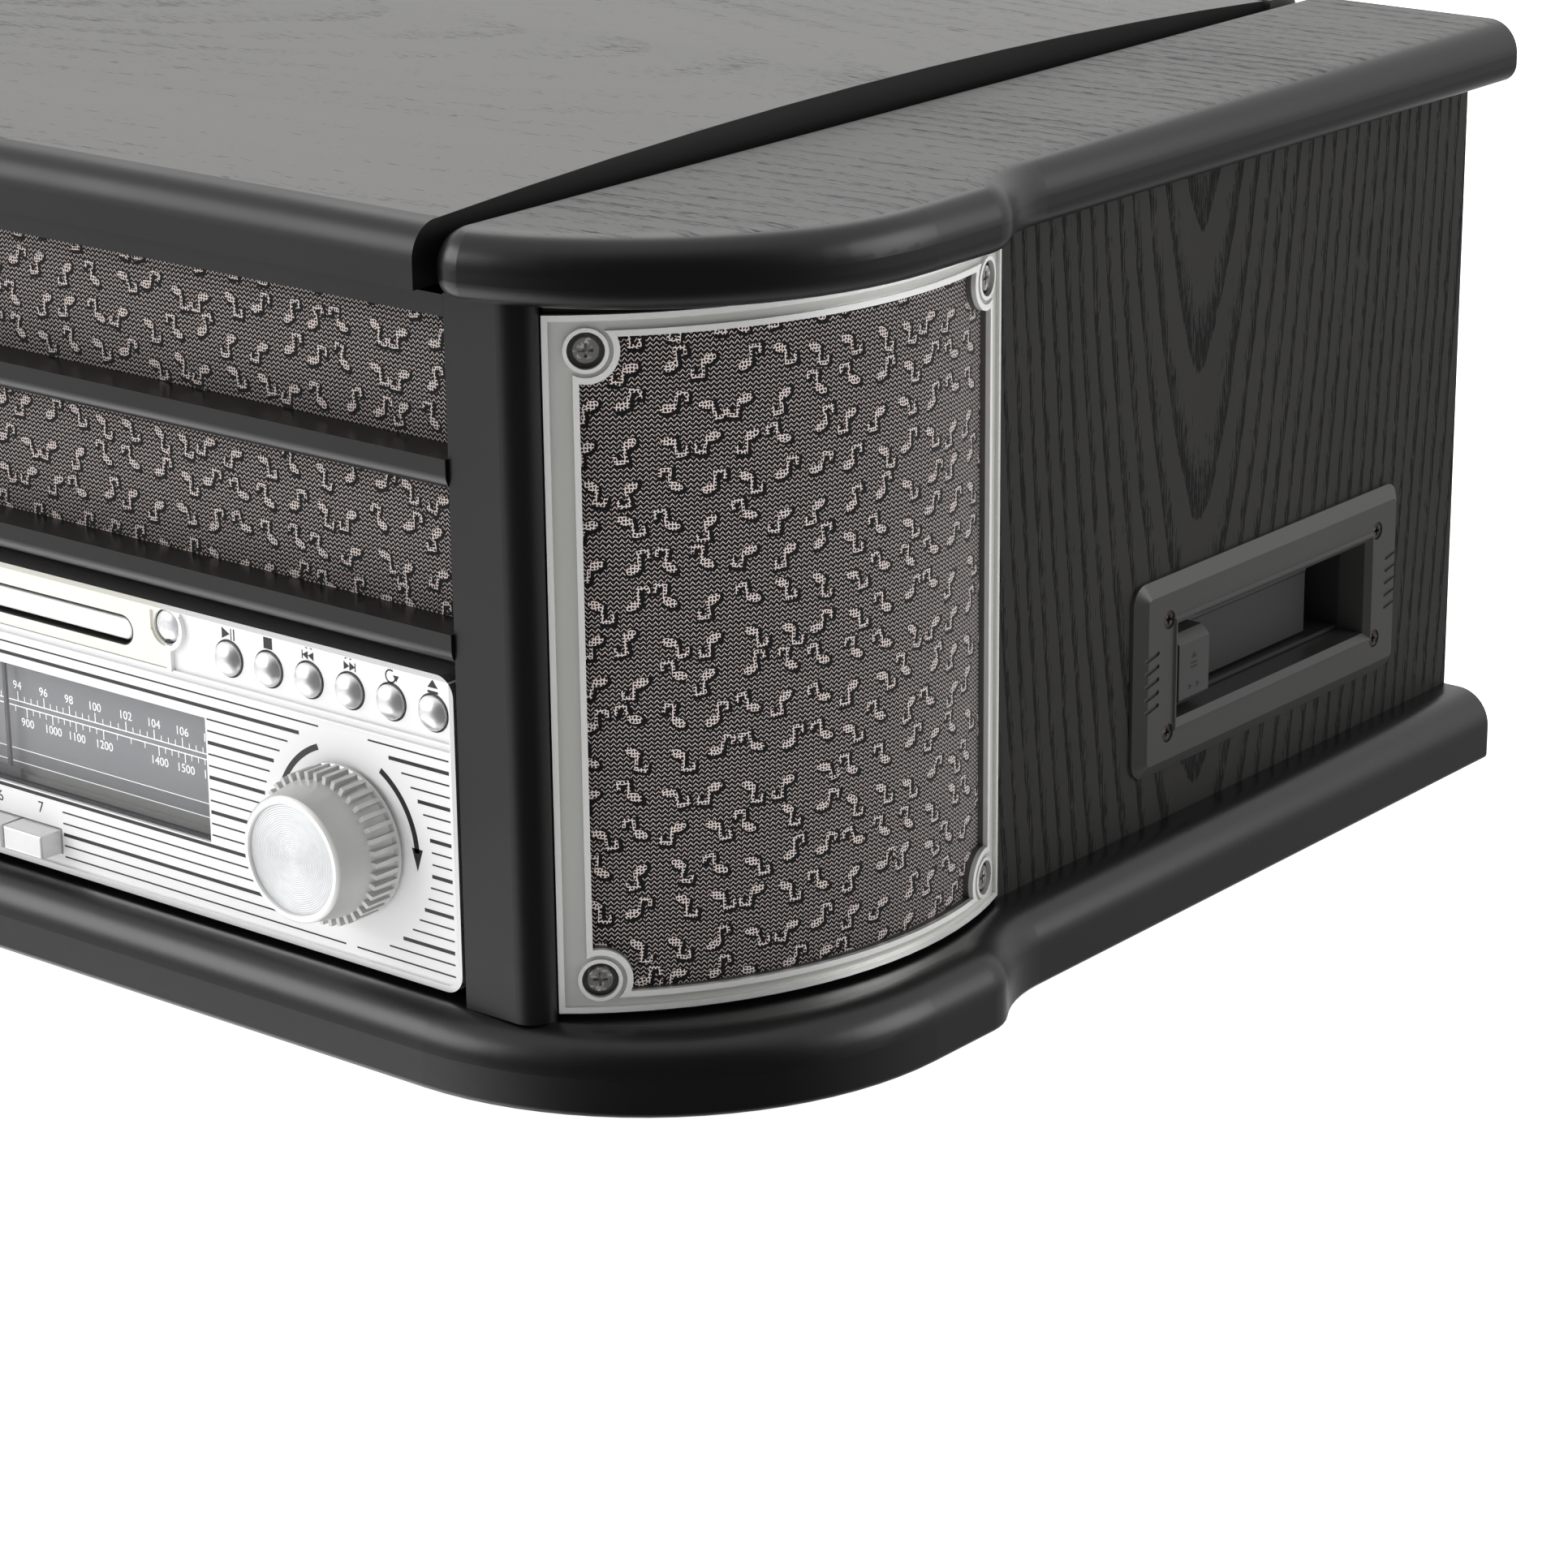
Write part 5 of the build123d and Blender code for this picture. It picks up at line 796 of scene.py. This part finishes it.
button_names = [name + "_button" for name in ("play", "stop", "back", "forward", "repeat", "eject")]
button_chrome = Finish("button_chrome", (0.84, 0.84, 0.84), 0.3, {"Metallic": 0.85})
button_haze = button_chrome.grain(1400.0)
button_chrome.set("Roughness", button_haze * 0.14 + 0.24)
button_chrome.bump(button_haze, 0.00001, 0.4)
dress(button_chrome, *button_names)

button_x = [middle(name).x for name in button_names]
button_z = middle("play_button").z
gap_shade_inner, gap_shade_outer = 0.00436, 0.00468
sign_z = 0.1040
play, stop, back, forward, repeat, eject = button_x


def sign_bar(left, right, low, high):
    """A bar of a sign, its heights measured from the row's middle."""
    return strip(left, right, sign_z + low, sign_z + high)


signs_and_ring_shade = [wedge(play - 0.0012, sign_z, 0.0028, 0.0026, 90),
         sign_bar(play + 0.0008, play + 0.0011, -0.0014, 0.0014),
         sign_bar(play + 0.0017, play + 0.0021, -0.0014, 0.0014),
         sign_bar(stop - 0.0014, stop + 0.0014, -0.0012, 0.0016)]
for x, side in ((back, -1), (forward, 1)):
    for step in (-1, 1):
        signs_and_ring_shade.append(wedge(x + step * 0.00075, sign_z + 0.0021, 0.0016, 0.0015, side * 90))
        signs_and_ring_shade.append(wedge(x + step * 0.0009 - side * 0.0002, sign_z - 0.0002,
                           0.0021, 0.0018, side * 90))
    post = x + side * 0.0019
    signs_and_ring_shade.append(sign_bar(post - 0.00016, post + 0.00016, -0.00125, 0.00085))
# Painted shade: a black ring round each button, standing for its dark gap.
for x in button_x:
    for start in (0, 180):
        signs_and_ring_shade.append(arc(x, button_z, gap_shade_inner, gap_shade_outer, start, sweep=180))
signs_and_ring_shade += [arc(repeat, sign_z, 0.0013, 0.0017, start=60, sweep=290),
          wedge(repeat + 0.0017, sign_z - 0.0001, 0.0019, 0.0015, 180),
          wedge(eject, sign_z + 0.0005, 0.0032, 0.0020, 0),
          sign_bar(eject - 0.0016, eject + 0.0016, -0.0015, -0.0009)]
printed("button_signs_and_ring_shade", signs_and_ring_shade, black_ink_and_gap_shade, "cabinet")

# ----------------------------------------------------------------------------------------
# Indicator lenses
# A domed silver disc lies in the ring at each end of the CD tray's plate.  A small notch at
# its lower edge lets the receiver behind it see out.
# ----------------------------------------------------------------------------------------

dome_radius, dome_bulge, dome_seat = 0.0041, 0.46, fascia_face + 0.0007
pearl = Finish("pearl_lens", (0.80, 0.80, 0.82), 0.22, {"Metallic": 0.35, "Coat Weight": 0.6})
pearl_flake = pearl.grain(900.0, 3.0)
pearl.set("Base Color", pearl.mix(pearl_flake, (0.58, 0.58, 0.60), (0.80, 0.80, 0.81)))
pearl.set("Roughness", pearl_flake * 0.2 + 0.15)

for name, x in (("lens_dome_right", lens_axis[0]), ("lens_dome_left", -lens_axis[0])):
    dome_place = (x, dome_seat, lens_axis[1])
    bpy.ops.object.select_all(action="DESELECT")
    bpy.ops.mesh.primitive_uv_sphere_add(segments=48, ring_count=24, radius=dome_radius,
                                         rotation=(math.pi / 2, 0, 0))
    dome = bpy.context.object
    dome.name = name
    dome.scale = (1, 1, dome_bulge)
    dome.location = dome_place
    bpy.ops.object.transform_apply(location=True, rotation=True, scale=True)
    bpy.ops.object.mode_set(mode="EDIT")
    bpy.ops.mesh.select_all(action="SELECT")
    bpy.ops.mesh.bisect(plane_co=dome_place, plane_no=(0, 1, 0), clear_outer=True, use_fill=True)
    bpy.ops.mesh.select_all(action="SELECT")
    bpy.ops.mesh.normals_make_consistent(inside=False)
    bpy.ops.object.mode_set(mode="OBJECT")
    bpy.ops.object.shade_smooth_by_angle(angle=math.radians(40))
    dome.data.materials.append(pearl.material)
    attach(dome, "cabinet")
    notch = wedge(x + 0.0005, lens_axis[1] - 0.0034, 0.0026, 0.0018, 0, fascia_face - 0.0006)
    printed(name.replace("dome", "notch"), [notch], black_ink_and_gap_shade, "cabinet")

# ----------------------------------------------------------------------------------------
# Dial
# A smoked acrylic window stands in front of a grey printed plate.  The two waveband scales
# share a pair of lines, and a smoky pointer travels between plate and window.
# ----------------------------------------------------------------------------------------

window_smoke = Finish("smoked_window", (0.20, 0.20, 0.21), 0.05,
                      {"Alpha": 0.16, "Specular IOR Level": 0.6})
window_smoke.set("Roughness", window_smoke.grain(60.0, 3.0) * 0.04 + 0.03)
dress(window_smoke, "dial_window")

plate_face = -0.1530
footer_low, footer_high = 0.0520, 0.0555
plate_paint = Finish("dial_grey", (0.30, 0.305, 0.32), 0.6)
plate_cloud = plate_paint.grain(22.0, 3.0)
below_footer = plate_paint.ramp(plate_paint.z, 0.0522, 0.0516)
in_footer = (plate_paint.z < footer_high) * (plate_paint.z > footer_low)
plate_shade = plate_paint.mix(plate_cloud, (0.31, 0.315, 0.33), (0.36, 0.365, 0.375))
plate_shade = plate_paint.mix(in_footer * 0.45, plate_shade, (0.20, 0.205, 0.22))
plate_shade = plate_paint.mix(below_footer * 0.8, plate_shade, (0.28, 0.285, 0.255))
plate_paint.set("Base Color", plate_shade)
dress(plate_paint, "dial_plate")

# The white print glows faintly, a painted light that keeps it bright behind the smoked window.
white_ink_painted_glow = Finish("white_ink_painted_glow", (0.92, 0.92, 0.90), 0.6,
                   {"Emission Color": (1, 1, 1, 1), "Emission Strength": 0.7})
white_ink_painted_glow.set("Roughness", white_ink_painted_glow.grain(1500.0) * 0.2 + 0.5)

dial_depth = plate_face - ink_film
dial_middle, half_dial = 0.0675, 0.0922
scale_line, footer_line = 0.0007, 0.00010
scale_marks = []
for height, half in ((dial_middle + scale_line, 0.00014), (dial_middle - scale_line, 0.00014),
                     (footer_high, footer_line), (footer_low, footer_line)):
    scale_marks.append(strip(-half_dial, half_dial, height - half, height + half, dial_depth))

# Where each number of the two wavebands stands, from the dial's middle to the right.
upper = {88: -0.0730, 90: -0.0385, 92: -0.0060, 94: 0.0184, 96: 0.0278, 98: 0.0369,
         100: 0.0460, 102: 0.0568, 104: 0.0666, 106: 0.0763, 108: 0.0856}
lower = {530: -0.0760, 600: -0.0520, 700: -0.0220, 800: 0.0050, 900: 0.0214, 1000: 0.0306,
         1100: 0.0390, 1200: 0.0487, 1400: 0.0680, 1500: 0.0770, 1600: 0.0860}
name_height, name_size = 0.0047, 0.0031
long_tick, short_tick = (0.0025, 0.00013), (0.0015, 0.00010)


def tick(x, turn, size):
    """A tick of the upper scale when turn is 1, of the lower one when it is -1."""
    line = dial_middle + turn * scale_line
    length, half = size
    low, high = sorted((line, line + turn * length))
    return strip(x - half, x + half, low, high, dial_depth)


for scale, turn in ((upper, 1), (lower, -1)):
    for name, x in scale.items():
        scale_marks.append(digits(str(name), x, dial_middle + turn * name_height, name_size,
                                  dial_depth))
        scale_marks.append(tick(x, turn, long_tick))
    places = sorted(scale.values())
    for near, far in zip(places, places[1:]):
        for quarter in (0.25, 0.50, 0.75):
            scale_marks.append(tick(near + (far - near) * quarter, turn, short_tick))
printed("dial_scale", scale_marks, white_ink_painted_glow, "cabinet")

pointer_paint = Finish("pointer_smoke", (0.13, 0.12, 0.125), 0.4)
pointer_wear = pointer_paint.grain(500.0)
pointer_shade = pointer_paint.mix(pointer_wear, (0.11, 0.10, 0.105), (0.15, 0.14, 0.145))
pointer_paint.set("Base Color", pointer_shade)
dress(pointer_paint, "dial_pointer")

# ----------------------------------------------------------------------------------------
# Tuning and volume knobs
# Turned mouldings in satin silver, with a painted highlight along the front edge.  A spun disc,
# grooved round and round, is let into the face of each, and light and dark rings and sectors
# are painted over it as its reflection.
# ----------------------------------------------------------------------------------------

disc_radius, disc_seat, disc_groove = 0.01325, -0.1760, 0.00052
edge_highlight_depths = (-0.1792, -0.1799)


def grooves(reach, pitch):
    """Grooves round an axis, 0 at the bottom of each and 1 between two."""
    return abs((reach / pitch) % 1.0 - 0.5) * 2


knob_silver = Finish("knob_silver", (0.48, 0.48, 0.475), 0.36, {"Metallic": 0.35})
knob_x, knob_z = abs(knob_silver.x) - knob_axis[0], knob_silver.z - knob_axis[1]
reach = away(knob_x, knob_z)
on_disc = (reach < disc_radius) * (knob_silver.y < disc_seat)
# Painted highlight along the knob's front edge.
edge_highlight = knob_silver.ramp(knob_silver.y, *edge_highlight_depths) * (1 - on_disc)
ring = grooves(reach, disc_groove)
knob_cloud = knob_silver.grain(60.0, 3.0)
body_tone_and_highlight = knob_silver.mix(knob_cloud, (0.50, 0.50, 0.49), (0.60, 0.60, 0.59))
body_tone_and_highlight = knob_silver.mix(edge_highlight, body_tone_and_highlight, (0.85, 0.85, 0.84))
# Painted reflection on the disc: rings and sectors of light and dark over its grooves.
turn = knob_silver.node("Math", {"operation": "ARCTAN2"}, {0: knob_z, 1: knob_x})
lay = knob_silver.noise(turn * 3, reach * 900, 0.2, 1.0, 3.0)
disc_painted_sheen = knob_silver.mix(ring * 0.6 + lay * 0.4, (0.38, 0.39, 0.40), (0.78, 0.79, 0.80))
knob_silver.set("Base Color", knob_silver.mix(on_disc, body_tone_and_highlight, disc_painted_sheen))
knob_silver.set("Roughness", knob_cloud * 0.1 + 0.32)
knob_silver.bump(ring * on_disc + knob_silver.grain(2200.0, 1.0) * 0.1, 0.00009, 0.6)
dress(knob_silver, "tuning_knob", "volume_knob")

# ----------------------------------------------------------------------------------------
# CD tray
# A black moulded tray that slides out of the drive.  Its front is painted in the warm silver
# of the plate round it.
# ----------------------------------------------------------------------------------------

tray_front = -0.1578
tray_shell = Finish("tray_silver", (0.86, 0.855, 0.80), 0.4, {"Metallic": 0.1})
on_front = tray_shell.y < tray_front
tray_grain = tray_shell.grain(1500.0)
tray_shade = tray_shell.mix(on_front, (0.018, 0.018, 0.019), (0.76, 0.755, 0.71))
tray_shell.set("Base Color", tray_shade)
tray_shell.set("Roughness", tray_grain * 0.18 + 0.34)
tray_shell.bump(tray_grain, 0.00002, 0.4)
dress(tray_shell, "cd_tray")

# ----------------------------------------------------------------------------------------
# Cassette recorder
# Its bezel, key and flap are moulded in dark grey plastic with a finely sparked surface.  The
# key carries an arrow and two pointers, and the mechanism behind the slot is black.
# ----------------------------------------------------------------------------------------


def moulded(name, colour, roughness, spark, depth):
    """Moulded plastic with a fine sparked surface and faint flow marks."""
    finish = Finish(name, colour, roughness, {"Specular IOR Level": 0.45})
    flow = finish.grain(24.0, 3.0)
    darker, paler = [tuple(share * part for part in colour) for share in (0.85, 1.15)]
    finish.set("Base Color", finish.mix(flow, darker, paler))
    finish.set("Roughness", flow * 0.14 + (roughness - 0.07))
    finish.bump(finish.grain(spark), depth, 0.6)
    return finish


bezel_grey = moulded("bezel_grey", (0.030, 0.029, 0.028), 0.40, 2600.0, 0.00002)
dress(bezel_grey, "cassette_bezel", "cassette_key")
slot_black = moulded("slot_black", (0.016, 0.0155, 0.0155), 0.44, 1800.0, 0.00002)
dress(slot_black, "cassette_mechanism", "cassette_flap")

mark_ink = Finish("mark_ink", (0.004, 0.004, 0.004), 0.6)
mark_ink.set("Roughness", mark_ink.grain(2500.0, 1.0) * 0.2 + 0.5)
bar_half, pointer_x, pointer_z = 0.0013, 0.0017, -0.0046
marks = joined([wedge(0.0, 0.0032, 0.0026, 0.0016, 0, depth=0),
                strip(-bar_half, bar_half, 0.0012, 0.0017, depth=0),
                strip(-bar_half, bar_half, 0.0001, 0.0006, depth=0),
                wedge(-pointer_x, pointer_z, 0.0016, 0.0015, 90, depth=0),
                wedge(pointer_x, pointer_z, 0.0016, 0.0015, 90, depth=0)])
marks.rotation_euler = (0, 0, math.pi / 2)
marks.location = middle("cassette_key")
marks.location.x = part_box("cassette_key")[1].x + ink_film
printed("cassette_key_marks", [marks], mark_ink, "tape_key")

# ----------------------------------------------------------------------------------------
# Record deck
# One black moulding, laid on battens along the walls at both sides of it.  The speed lever
# and the tonearm's base are black mouldings too.
# ----------------------------------------------------------------------------------------

deck_black = moulded("deck_black", (0.017, 0.017, 0.018), 0.52, 1500.0, 0.00004)
dress(deck_black, "turntable_deck", "speed_lever")
arm_base_black = moulded("arm_base_black", (0.02, 0.02, 0.021), 0.4, 1500.0, 0.00002)
dress(arm_base_black, "tonearm_base")

# ----------------------------------------------------------------------------------------
# Platter, spindle and pulley
# A cast platter with turned faces runs on a chromed spindle, and its belt runs on a pulley of
# turned brass.
# ----------------------------------------------------------------------------------------


def turned(name, colour, roughness, axis, pitch):
    """Metal turned on a lathe, with fine grooves round an upright axis."""
    finish = Finish(name, colour, roughness, {"Metallic": 1.0})
    reach = away(finish.x - axis.x, finish.y - axis.y)
    lay = finish.noise(reach, 0.0, finish.z, 900.0, 3.0)
    finish.set("Base Color", finish.mix(lay, tuple(0.82 * part for part in colour), colour))
    finish.set("Roughness", lay * 0.16 + (roughness - 0.08))
    finish.bump(grooves(reach, pitch) + lay, 0.00002, 0.5)
    return finish


platter_axis = middle("platter_spindle")
platter_cast = turned("turned_aluminium", (0.62, 0.62, 0.61), 0.34, platter_axis, 0.0004)
dress(platter_cast, "platter")
spindle_chrome = turned("spindle_chrome", (0.80, 0.80, 0.80), 0.20, platter_axis, 0.0006)
dress(spindle_chrome, "platter_spindle")
pulley_axis = middle("motor_pulley")
pulley_brass = turned("pulley_brass", (0.60, 0.43, 0.17), 0.26, pulley_axis, 0.0005)
dress(pulley_brass, "motor_pulley")

# ----------------------------------------------------------------------------------------
# Mat, belt and feet
# The mat is moulded rubber with round ribs that stop short of the spindle.  The belt and the
# feet are of softer, plain rubber.
# ----------------------------------------------------------------------------------------


def rubber(name, colour, dust):
    """Matt black rubber with a dusty bloom."""
    finish = Finish(name, colour, 0.8, {"Specular IOR Level": 0.3})
    bloom = finish.grain(140.0, 4.0)
    finish.set("Base Color", finish.mix(finish.ramp(bloom, 0.45, 0.75), colour, dust))
    finish.set("Roughness", bloom * 0.2 + 0.65)
    return finish


rib_pitch, rib_start, rib_depth = 0.0022, 0.026, 0.0003
mat_rubber = rubber("mat_rubber", (0.014, 0.014, 0.014), (0.030, 0.030, 0.029))
mat_reach = away(mat_rubber.x - platter_axis.x, mat_rubber.y - platter_axis.y)
mat_rib = mat_rubber.ramp(abs((mat_reach / rib_pitch) % 1.0 - 0.5), 0.16, 0.34)
mat_rubber.bump(mat_rib * (mat_reach > rib_start), rib_depth, 0.8)
dress(mat_rubber, "platter_mat")
soft_rubber = rubber("foot_rubber", (0.016, 0.016, 0.016), (0.05, 0.05, 0.048))
soft_rubber.bump(soft_rubber.grain(2400.0, 1.0), 0.00003, 0.5)
dress(soft_rubber, "drive_belt", "rubber_feet")

# ----------------------------------------------------------------------------------------
# Tonearm
# A chromed tube in a gimbal, with a turned counterweight.  The head shell and the cartridge at
# its far end are black.
# ----------------------------------------------------------------------------------------


def plated(name, colour, roughness):
    """Bright plated steel, slightly hazy where hands and dust have been."""
    finish = Finish(name, colour, roughness, {"Metallic": 1.0})
    haze = finish.grain(160.0, 4.0)
    finish.set("Base Color", finish.mix(haze, tuple(0.85 * part for part in colour), colour))
    finish.set("Roughness", haze * 0.2 + (roughness - 0.08))
    finish.bump(finish.grain(2400.0, 1.0), 0.000006, 0.5)
    return finish


def blackened(finish, part, metal, paint):
    """Covers part of a plated finish with black, which is paint on the tonearm's head and painted
    shade on the CD drive's front.
    """
    finish.set("Base Color", finish.mix(part, metal, paint))
    finish.set("Metallic", 1 - part)


arm_metal = (0.78, 0.78, 0.78)
head_length = 0.0375
arm_chrome = plated("arm_chrome", arm_metal, 0.20)
at_head = arm_chrome.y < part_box("tonearm")[0].y + head_length
blackened(arm_chrome, at_head, arm_metal, (0.015, 0.015, 0.016))
arm_chrome.set("Roughness", at_head * 0.25 + 0.18)
dress(arm_chrome, "tonearm")

# ----------------------------------------------------------------------------------------
# Gimbal, cueing lever, motor, lid stay and hinges
# Small pressings and turned parts, all in the same bright zinc-plated steel, which hands and
# dust have left a little hazy.
# ----------------------------------------------------------------------------------------

bright_steel = plated("bright_steel", (0.66, 0.66, 0.65), 0.30)
dress(bright_steel, "tonearm_gimbal", "cue_lever", "platter_motor", "lid_stay_rail",
      "lid_stay_arm", "lid_hinge_leaves", "rail_hinge_leaves")

# ----------------------------------------------------------------------------------------
# CD drive
# A case of folded steel sheet.  Its front is black, a painted shade, so that it doesn't show
# through the fascia's slot.
# ----------------------------------------------------------------------------------------

case_steel = (0.50, 0.50, 0.50)
shaded_depth = 0.012
drive_case = plated("drive_case", case_steel, 0.42)
# Painted shade: the front of the case is black.
drive_front_shade = drive_case.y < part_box("cd_drive")[0].y + shaded_depth
blackened(drive_case, drive_front_shade, case_steel, (0.010, 0.010, 0.010))
dress(drive_case, "cd_drive")

# ----------------------------------------------------------------------------------------
# Loudspeaker drivers
# A dished paper cone with a domed cap sits in a pressed basket with a round magnet.  All of it
# is dark, so that nothing shows through the cloth.
# ----------------------------------------------------------------------------------------

driver_paper = Finish("cone_paper", (0.05, 0.045, 0.04), 0.85, {"Specular IOR Level": 0.2})
fibre = driver_paper.grain(1200.0, 4.0)
cone_shade = driver_paper.mix(fibre, (0.035, 0.032, 0.03), (0.075, 0.068, 0.06))
driver_paper.set("Base Color", cone_shade)
driver_paper.bump(fibre, 0.0001, 0.6)
dress(driver_paper, "speaker_drivers")

# ----------------------------------------------------------------------------------------
# Back panel
# A panel of tempered hardboard, brown-black and slightly felted, closes the back.  Its vents
# are routed right through.
# ----------------------------------------------------------------------------------------

hardboard = Finish("black_hardboard", (0.030, 0.024, 0.019), 0.7, {"Specular IOR Level": 0.3})
felted = hardboard.grain(420.0, 6.0)
blotch = hardboard.grain(30.0, 4.0)
board_shade = hardboard.mix(felted * 0.6 + blotch * 0.4, (0.022, 0.017, 0.014),
                            (0.060, 0.046, 0.035))
hardboard.set("Base Color", board_shade)
hardboard.set("Roughness", felted * 0.3 + 0.5)
hardboard.bump(felted, 0.00012, 0.6)
dress(hardboard, "back_panel")

# ----------------------------------------------------------------------------------------
# Sockets and cord gland
# Two phono sockets with gold-plated sleeves and a black grommet for the mains lead are set in
# the back panel.
# ----------------------------------------------------------------------------------------

jack_axes = ((-0.137, 0.069), (-0.123, 0.069))
sleeve_radius, sleeve_foot = 0.0043, 0.1720
socket_plastic = (0.012, 0.012, 0.012)
socket_black = moulded("socket_black", socket_plastic, 0.38, 1800.0, 0.00002)
left_sleeve, right_sleeve = [
    (away(socket_black.x - x, socket_black.z - z) < sleeve_radius) * (socket_black.y > sleeve_foot)
    for x, z in jack_axes]
on_sleeve = left_sleeve.most(right_sleeve)
socket_black.set("Base Color", socket_black.mix(on_sleeve, socket_plastic, (0.78, 0.58, 0.24)))
socket_black.set("Metallic", on_sleeve)
dress(socket_black, "rear_connectors")

# ----------------------------------------------------------------------------------------
# Circuit board
# Green laminate with etched tracks, held over the floor of the cabinet.  It carries black
# capacitors and a black heat sink.
# ----------------------------------------------------------------------------------------

board_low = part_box("circuit_board")[0].z
laminate_low, laminate_high = board_low + 0.0055, board_low + 0.0080
laminate = Finish("board_laminate", (0.02, 0.12, 0.05), 0.35, {"Specular IOR Level": 0.5})
above = laminate.z > laminate_high
on_sheet = (laminate.z > laminate_low) * (1 - above)
track_noise = laminate.noise(laminate.x * 1.4, laminate.y * 0.5, 0.0, 260.0, 1.0)
track = laminate.ramp(track_noise, 0.50, 0.53) * laminate.ramp(track_noise, 0.60, 0.57)
green = laminate.mix(track, (0.010, 0.075, 0.028), (0.03, 0.17, 0.07))
laminate.set("Base Color", laminate.mix(on_sheet, (0.022, 0.022, 0.024), green))
laminate.set("Roughness", track * 0.1 + 0.3)
dress(laminate, "circuit_board")

# ----------------------------------------------------------------------------------------
# Transformer
# Its core is a stack of thin steel sheets, and yellow tape is wound round the winding that
# stands out on both sides.
# ----------------------------------------------------------------------------------------

core_half, foot_height, sheet_pitch = 0.0165, 0.0035, 0.0007
core_steel = Finish("core_steel", (0.20, 0.20, 0.20), 0.45, {"Metallic": 0.8})
past_core = abs(core_steel.y - middle("transformer").y) > core_half
on_coil = past_core * (core_steel.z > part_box("transformer")[0].z + foot_height)
leaves = core_steel.ramp(abs((core_steel.y / sheet_pitch) % 1.0 - 0.5), 0.36, 0.48)
core_shade = core_steel.mix(leaves, (0.24, 0.23, 0.22), (0.07, 0.065, 0.06))
core_steel.set("Base Color", core_steel.mix(on_coil, core_shade, (0.46, 0.34, 0.06)))
core_steel.set("Metallic", 0.8 - on_coil * 0.8)
core_steel.bump(leaves, 0.0001, 0.6)
dress(core_steel, "transformer")
